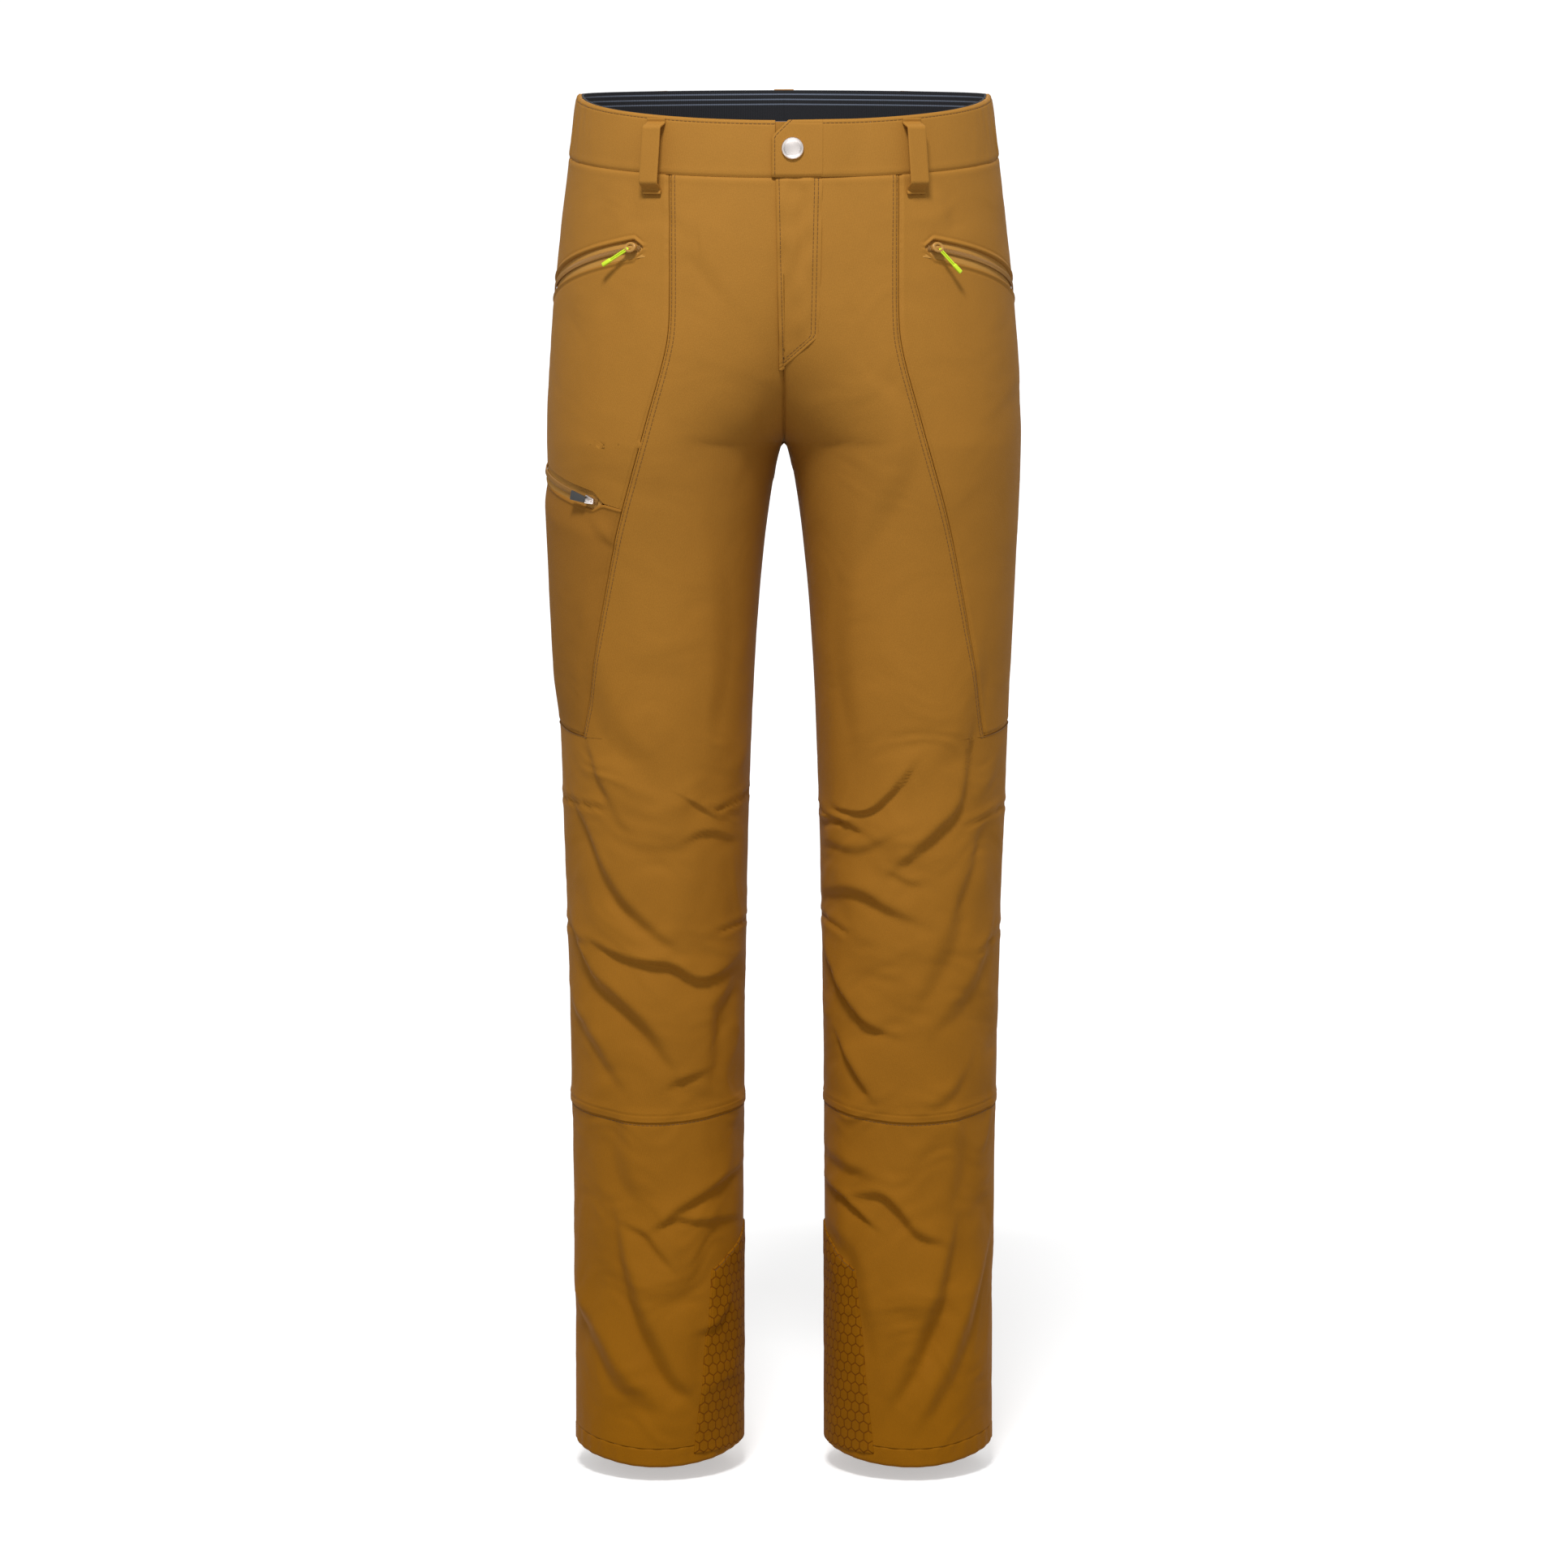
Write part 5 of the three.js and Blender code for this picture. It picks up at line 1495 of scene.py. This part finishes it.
# %% [markdown]
# ## Stitching
#
# Each stitch is a short rounded bar lying in the line that its thread pulls into the cloth.

# %% Rows of stitches
PITCH, THREAD = 0.0034, 0.0006
stitch_count = 0


def stitch_row(name, panel_name, side, offset, body="trousers", start=0.0, stop=1.0, blend_to=None):
    """Stitches along one edge of a panel, at a distance from it."""
    global stitch_count
    edge, outer, n, _, _ = DEPTHS[panel_name]
    d = edge[side]
    lines = []
    if side in "lr":
        for i in range(d.shape[0]):
            row = d[i] if side == "l" else d[i][::-1]
            pts, nrm = (outer[i], n[i]) if side == "l" else (outer[i][::-1], n[i][::-1])
            k = max(1, int(np.searchsorted(row, offset)))
            if k < len(row):
                f = (offset - row[k - 1]) / max(1e-9, row[k] - row[k - 1])
                lines.append((mix(pts[k - 1], pts[k], f), nrm[k]))
    else:
        for j in range(d.shape[1]):
            col = d[:, j] if side == "t" else d[::-1, j]
            pts, nrm = (outer[:, j], n[:, j]) if side == "t" else (outer[::-1, j], n[::-1, j])
            k = max(1, int(np.searchsorted(col, offset)))
            if k < len(col):
                f = (offset - col[k - 1]) / max(1e-9, col[k] - col[k - 1])
                lines.append((mix(pts[k - 1], pts[k], f), nrm[k]))
    if len(lines) < 3:
        return None
    p, q = np.array([a for a, _ in lines]), np.array([b for _, b in lines])
    length = np.concatenate([[0], np.cumsum(np.linalg.norm(np.diff(p, axis=0), axis=1))])
    at = np.arange(length[-1] * start + PITCH / 2, length[-1] * stop - PITCH / 2, PITCH)
    sample = lambda v, where: np.stack([np.interp(where, length, v[:, k]) for k in range(3)], axis=-1)
    centre, first = sample(p, at), unit(sample(p, at + 0.001) - sample(p, at - 0.001))
    up = unit(sample(q, at))
    second = unit(np.cross(up, first))
    points = list(centre + up * 0.00008)
    stitch_count += len(points)
    sizes = [(PITCH * 0.8, THREAD, THREAD * 0.8)] * len(points)
    obj = many(name, points, sizes, list(first), list(second), "softshell", body)
    return obj


# name of the row, its piece, the edge it follows, its distance in mm, and where it starts and ends
FLY_ROWS = [
    ("fly_j_outer", "fly_flap_cloth", "r", 3.2, 0.0, 1.0),
    ("fly_j_inner", "fly_flap_cloth", "r", 6.2, 0.0, 1.0),
    ("fly_edge_row", "fly_flap_cloth", "l", 2.6, 0.0, 0.97),
    ("tab_row", "waistband_tab_cloth", "l", 2.6, 0.0, 1.0),
]
SIDE_ROWS = [
    ("thigh_seam_row_a", "front_panel", "r", 2.0),
    ("thigh_seam_row_b", "front_panel", "r", 5.2),
    ("shin_row", "lower_leg_front", "t", 2.2),
    ("shin_back_row", "lower_leg_back", "t", 2.2),
    ("band_row", "waistband_front", "t", 3.0),
    ("yoke_row_a", "back_panel", "t", 2.0),
    ("yoke_row_b", "back_panel", "t", 5.2),
    ("guard_row", "scuff_guard", "t", 1.8),
]
stitches = []
for name, source, where, offset, a, b in FLY_ROWS:
    row = stitch_row(name, source, where, offset * MM, "fly_front", a, b)
    if row:
        row.parent = None
        row.matrix_world = Matrix.Identity(4)
        stitches.append(row)
        del row["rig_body"]
        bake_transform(row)
for word in ("left", "right"):
    for name, source, where, offset in SIDE_ROWS:
        row = stitch_row(f"{name}_{word}", f"{source}_{word}_cloth", where, offset * MM, "trousers", 0, 1)
        if row:
            stitches.append(row)
print(stitch_count, "stitches")

# %% [markdown]
# ## Cloth, coil and metal
#
# The softshell is a matt ochre stretch weave. Its tone drifts a little at random, and its colour
# is painted darker down the leg: painted shade that stands in for the light falling off below the
# waist. One shared group makes the drifting tone and the fine relief of the yarn.

# %% Shared weave group
def new_group(name, outputs):
    group = bpy.data.node_groups.new(name, "ShaderNodeTree")
    for label, kind in outputs:
        group.interface.new_socket(name=label, in_out="OUTPUT", socket_type=kind)
    return group


def add_node(tree, kind, **values):
    node = tree.nodes.new(kind)
    for key, value in values.items():
        setattr(node, key, value)
    return node


def math_node(tree, operation, a, b=None, clamp=False):
    node = add_node(tree, "ShaderNodeMath", operation=operation, use_clamp=clamp)
    for k, v in enumerate((a, b)):
        if v is None:
            continue
        if isinstance(v, (int, float)):
            node.inputs[k].default_value = v
        else:
            tree.links.new(v, node.inputs[k])
    return node.outputs[0]


def noise_node(tree, vector, scale, detail=2.0, rough=0.5):
    node = add_node(tree, "ShaderNodeTexNoise")
    node.inputs["Scale"].default_value = scale
    node.inputs["Detail"].default_value = detail
    node.inputs["Roughness"].default_value = rough
    tree.links.new(vector, node.inputs["Vector"])
    return node.outputs["Fac"]


weave = new_group("woven_face", [("Tone", "NodeSocketFloat"), ("Normal", "NodeSocketVector")])
out = add_node(weave, "NodeGroupOutput")
where = add_node(weave, "ShaderNodeTexCoord")
uv = add_node(weave, "ShaderNodeUVMap", uv_map="cloth")
split = add_node(weave, "ShaderNodeSeparateXYZ")
weave.links.new(uv.outputs[0], split.inputs[0])
diagonal = math_node(weave, "ADD", split.outputs[0], split.outputs[1])
yarn_u = math_node(weave, "SINE", math_node(weave, "MULTIPLY", diagonal, 5200.0))
yarn_v = math_node(weave, "SINE", math_node(weave, "MULTIPLY", split.outputs[1], 6100.0))
yarn = math_node(weave, "MULTIPLY", yarn_u, yarn_v)
fuzz = noise_node(weave, where.outputs["Object"], 900, 3, 0.6)
cloudy = noise_node(weave, where.outputs["Object"], 38, 3, 0.55)
fine_tone = math_node(weave, "MULTIPLY", fuzz, 0.16)
tone = math_node(weave, "ADD", fine_tone, math_node(weave, "MULTIPLY", cloudy, 0.10))
tone = math_node(weave, "ADD", tone, math_node(weave, "MULTIPLY", yarn, 0.03))
weave.links.new(math_node(weave, "ADD", tone, 0.87), out.inputs["Tone"])
bump = add_node(weave, "ShaderNodeBump")
bump.inputs["Strength"].default_value = 0.35
bump.inputs["Distance"].default_value = 0.0004
height = math_node(weave, "ADD", fuzz, math_node(weave, "MULTIPLY", yarn, 0.25))
weave.links.new(height, bump.inputs["Height"])
weave.links.new(bump.outputs[0], out.inputs["Normal"])
print("weave group has", len(weave.nodes), "nodes")


# %% Cloth materials
def from_srgb(r, g, b):
    """Linear colour from red, green and blue of 0 to 255."""
    shares = [c / 255 for c in (r, g, b)]
    return tuple(c / 12.92 if c <= 10 / 255 else ((c + 0.055) / 1.055) ** 2.4 for c in shares) + (1,)


def cloth_material(name, top, bottom, roughness=0.7):
    """Woven cloth whose colour darkens from top to bottom down the leg, as painted shade for the light
    falling off below the waist.
    """
    material = bpy.data.materials.new(name)
    material.use_nodes = True
    tree = material.node_tree
    shader = tree.nodes["Principled BSDF"]
    place = add_node(tree, "ShaderNodeTexCoord")
    xyz = add_node(tree, "ShaderNodeSeparateXYZ")
    tree.links.new(place.outputs["Object"], xyz.inputs[0])
    # painted shade: the colour is mixed from the top colour at the waist to the darker bottom colour towards
    # the hem, standing in for the light that falls off down the leg
    painted_shade_ramp = add_node(tree, "ShaderNodeValToRGB")
    share = math_node(tree, "ADD", math_node(tree, "MULTIPLY", xyz.outputs[2], -1 / 1.1), 0.0, clamp=True)
    tree.links.new(share, painted_shade_ramp.inputs[0])
    painted_shade_ramp.color_ramp.elements[0].color, painted_shade_ramp.color_ramp.elements[1].color = top, bottom
    group = add_node(tree, "ShaderNodeGroup")
    group.node_tree = weave
    scaled = add_node(tree, "ShaderNodeVectorMath", operation="SCALE")
    tree.links.new(painted_shade_ramp.outputs[0], scaled.inputs[0])
    tree.links.new(group.outputs["Tone"], scaled.inputs["Scale"])
    tree.links.new(scaled.outputs[0], shader.inputs["Base Color"])
    tree.links.new(group.outputs["Normal"], shader.inputs["Normal"])
    shader.inputs["Roughness"].default_value = roughness
    shader.inputs["Specular IOR Level"].default_value = 0.1
    return material


# each cloth gets a waist colour and then a darker hem colour; the darkening between them is painted shade
softshell = cloth_material("softshell", from_srgb(171, 120, 50), from_srgb(152, 95, 0))
pocket_cloth = cloth_material("pocket_fabric", from_srgb(158, 107, 42), from_srgb(148, 98, 24), 0.8)
lining = cloth_material("lining", from_srgb(96, 78, 50), from_srgb(90, 72, 44), 0.9)
tape_cloth = cloth_material("zip_tape", from_srgb(188, 138, 68), from_srgb(184, 134, 62), 0.8)

# %% Honeycomb of the scuff guards
def honeycomb_material():
    """Dark cells with darker lines: the distance to the walls of a hexagonal grid."""
    material = bpy.data.materials.new("scuff_fabric")
    material.use_nodes = True
    tree = material.node_tree
    shader = tree.nodes["Principled BSDF"]
    uv = add_node(tree, "ShaderNodeUVMap", uv_map="cloth")
    xyz = add_node(tree, "ShaderNodeSeparateXYZ")
    tree.links.new(uv.outputs[0], xyz.inputs[0])
    cell = 0.0088
    u = math_node(tree, "DIVIDE", xyz.outputs[0], cell)
    v = math_node(tree, "DIVIDE", xyz.outputs[1], cell)

    def hex_gap(shift_u, shift_v):
        row = math.sqrt(3)
        along = math_node(tree, "FLOORED_MODULO", math_node(tree, "ADD", u, shift_u + 40), 1.0)
        up = math_node(tree, "FLOORED_MODULO", math_node(tree, "ADD", v, shift_v + 40 * row), row)
        a = math_node(tree, "SUBTRACT", along, 0.5)
        b = math_node(tree, "SUBTRACT", up, row / 2)
        x, y = math_node(tree, "ABSOLUTE", a), math_node(tree, "ABSOLUTE", b)
        half = math_node(tree, "MULTIPLY", x, 0.5)
        slant = math_node(tree, "ADD", half, math_node(tree, "MULTIPLY", y, math.sqrt(3) / 2))
        return math_node(tree, "MAXIMUM", x, slant)

    nearest = math_node(tree, "MINIMUM", hex_gap(0, 0), hex_gap(0.5, math.sqrt(3) / 2))
    wall = add_node(tree, "ShaderNodeMapRange")
    tree.links.new(nearest, wall.inputs["Value"])
    wall.inputs["From Min"].default_value = 0.42
    wall.inputs["From Max"].default_value = 0.47
    colour = add_node(tree, "ShaderNodeMix", data_type="RGBA")
    tree.links.new(wall.outputs[0], colour.inputs["Factor"])
    colour.inputs["A"].default_value = from_srgb(146, 91, 4)
    colour.inputs["B"].default_value = from_srgb(116, 64, 1)
    group = add_node(tree, "ShaderNodeGroup")
    group.node_tree = weave
    scaled = add_node(tree, "ShaderNodeVectorMath", operation="SCALE")
    tree.links.new(colour.outputs["Result"], scaled.inputs[0])
    tree.links.new(group.outputs["Tone"], scaled.inputs["Scale"])
    tree.links.new(scaled.outputs[0], shader.inputs["Base Color"])
    bump = add_node(tree, "ShaderNodeBump")
    bump.inputs["Strength"].default_value = 0.5
    bump.inputs["Distance"].default_value = 0.0005
    bump.invert = True
    tree.links.new(wall.outputs[0], bump.inputs["Height"])
    tree.links.new(group.outputs["Normal"], bump.inputs["Normal"])
    tree.links.new(bump.outputs[0], shader.inputs["Normal"])
    shader.inputs["Roughness"].default_value = 0.8
    shader.inputs["Specular IOR Level"].default_value = 0.08
    return material


scuff = honeycomb_material()
print("honeycomb cells", 8.8, "mm wide")

# %% Ribbed elastic
def elastic_material():
    material = bpy.data.materials.new("elastic")
    material.use_nodes = True
    tree = material.node_tree
    shader = tree.nodes["Principled BSDF"]
    uv = add_node(tree, "ShaderNodeUVMap", uv_map="cloth")
    flat = add_node(tree, "ShaderNodeSeparateXYZ")
    tree.links.new(uv.outputs[0], flat.inputs[0])
    rib = math_node(tree, "SINE", math_node(tree, "MULTIPLY", flat.outputs[0], 3400.0))
    stripe = None
    for at in (0.0026, 0.0064, 0.0102, 0.0240, 0.0262):
        gap = math_node(tree, "SUBTRACT", flat.outputs[1], at)
        near = math_node(tree, "LESS_THAN", math_node(tree, "ABSOLUTE", gap), 0.0005)
        stripe = near if stripe is None else math_node(tree, "MAXIMUM", stripe, near)
    colour = add_node(tree, "ShaderNodeMix", data_type="RGBA")
    tree.links.new(stripe, colour.inputs["Factor"])
    colour.inputs["A"].default_value = from_srgb(34, 36, 42)
    colour.inputs["B"].default_value = from_srgb(112, 122, 140)
    tree.links.new(colour.outputs["Result"], shader.inputs["Base Color"])
    bump = add_node(tree, "ShaderNodeBump")
    bump.inputs["Strength"].default_value = 0.4
    bump.inputs["Distance"].default_value = 0.0005
    tree.links.new(rib, bump.inputs["Height"])
    tree.links.new(bump.outputs[0], shader.inputs["Normal"])
    shader.inputs["Roughness"].default_value = 0.8
    return material


elastic_cloth = elastic_material()


# %% Plastics and metals
def hard_material(name, colour, roughness, metal=0.0, grain=0.1, size=600):
    """A plain finish with a faint cast or moulded grain."""
    material = bpy.data.materials.new(name)
    material.use_nodes = True
    tree = material.node_tree
    shader = tree.nodes["Principled BSDF"]
    place = add_node(tree, "ShaderNodeTexCoord")
    fac = noise_node(tree, place.outputs["Object"], size, 3, 0.6)
    tone = math_node(tree, "ADD", math_node(tree, "MULTIPLY", fac, grain), 1 - grain / 2)
    colour_node = add_node(tree, "ShaderNodeVectorMath", operation="SCALE")
    colour_node.inputs[0].default_value = colour[:3]
    tree.links.new(tone, colour_node.inputs["Scale"])
    tree.links.new(colour_node.outputs[0], shader.inputs["Base Color"])
    bump = add_node(tree, "ShaderNodeBump")
    bump.inputs["Strength"].default_value = 0.12
    bump.inputs["Distance"].default_value = 0.0002
    tree.links.new(fac, bump.inputs["Height"])
    tree.links.new(bump.outputs[0], shader.inputs["Normal"])
    shader.inputs["Roughness"].default_value = roughness
    shader.inputs["Metallic"].default_value = metal
    return material


coil_plastic = hard_material("zip_coil", from_srgb(150, 106, 44), 0.5)
slider_paint = hard_material("slider_paint", from_srgb(184, 134, 62), 0.42)
steel = hard_material("steel", from_srgb(232, 224, 220), 0.36, 1.0, 0.06)
neon = hard_material("neon", from_srgb(206, 236, 40), 0.5, 0.0, 0.08)
puller_plastic = hard_material("puller", from_srgb(62, 62, 62), 0.5)
FINISHES = {"softshell": softshell, "pocket_fabric": pocket_cloth, "scuff_fabric": scuff, "lining": lining,
            "elastic": elastic_cloth, "zip_tape": tape_cloth, "zip_coil": coil_plastic,
            "slider_paint": slider_paint,
            "steel": steel, "neon": neon, "puller": puller_plastic}
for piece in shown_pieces():
    if "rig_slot" in piece:
        piece.data.materials.clear()
        piece.data.materials.append(FINISHES[piece["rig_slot"]])
thread = hard_material("thread", from_srgb(112, 74, 20), 0.7)
for row in stitches:
    row.data.materials.clear()
    row.data.materials.append(thread)

# %% Sizes
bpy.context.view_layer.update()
for name, (w, l, area) in FLAT_SIZES.items():
    print(f"{name}: cut {w * 1000:.0f} by {l * 1000:.0f} mm")
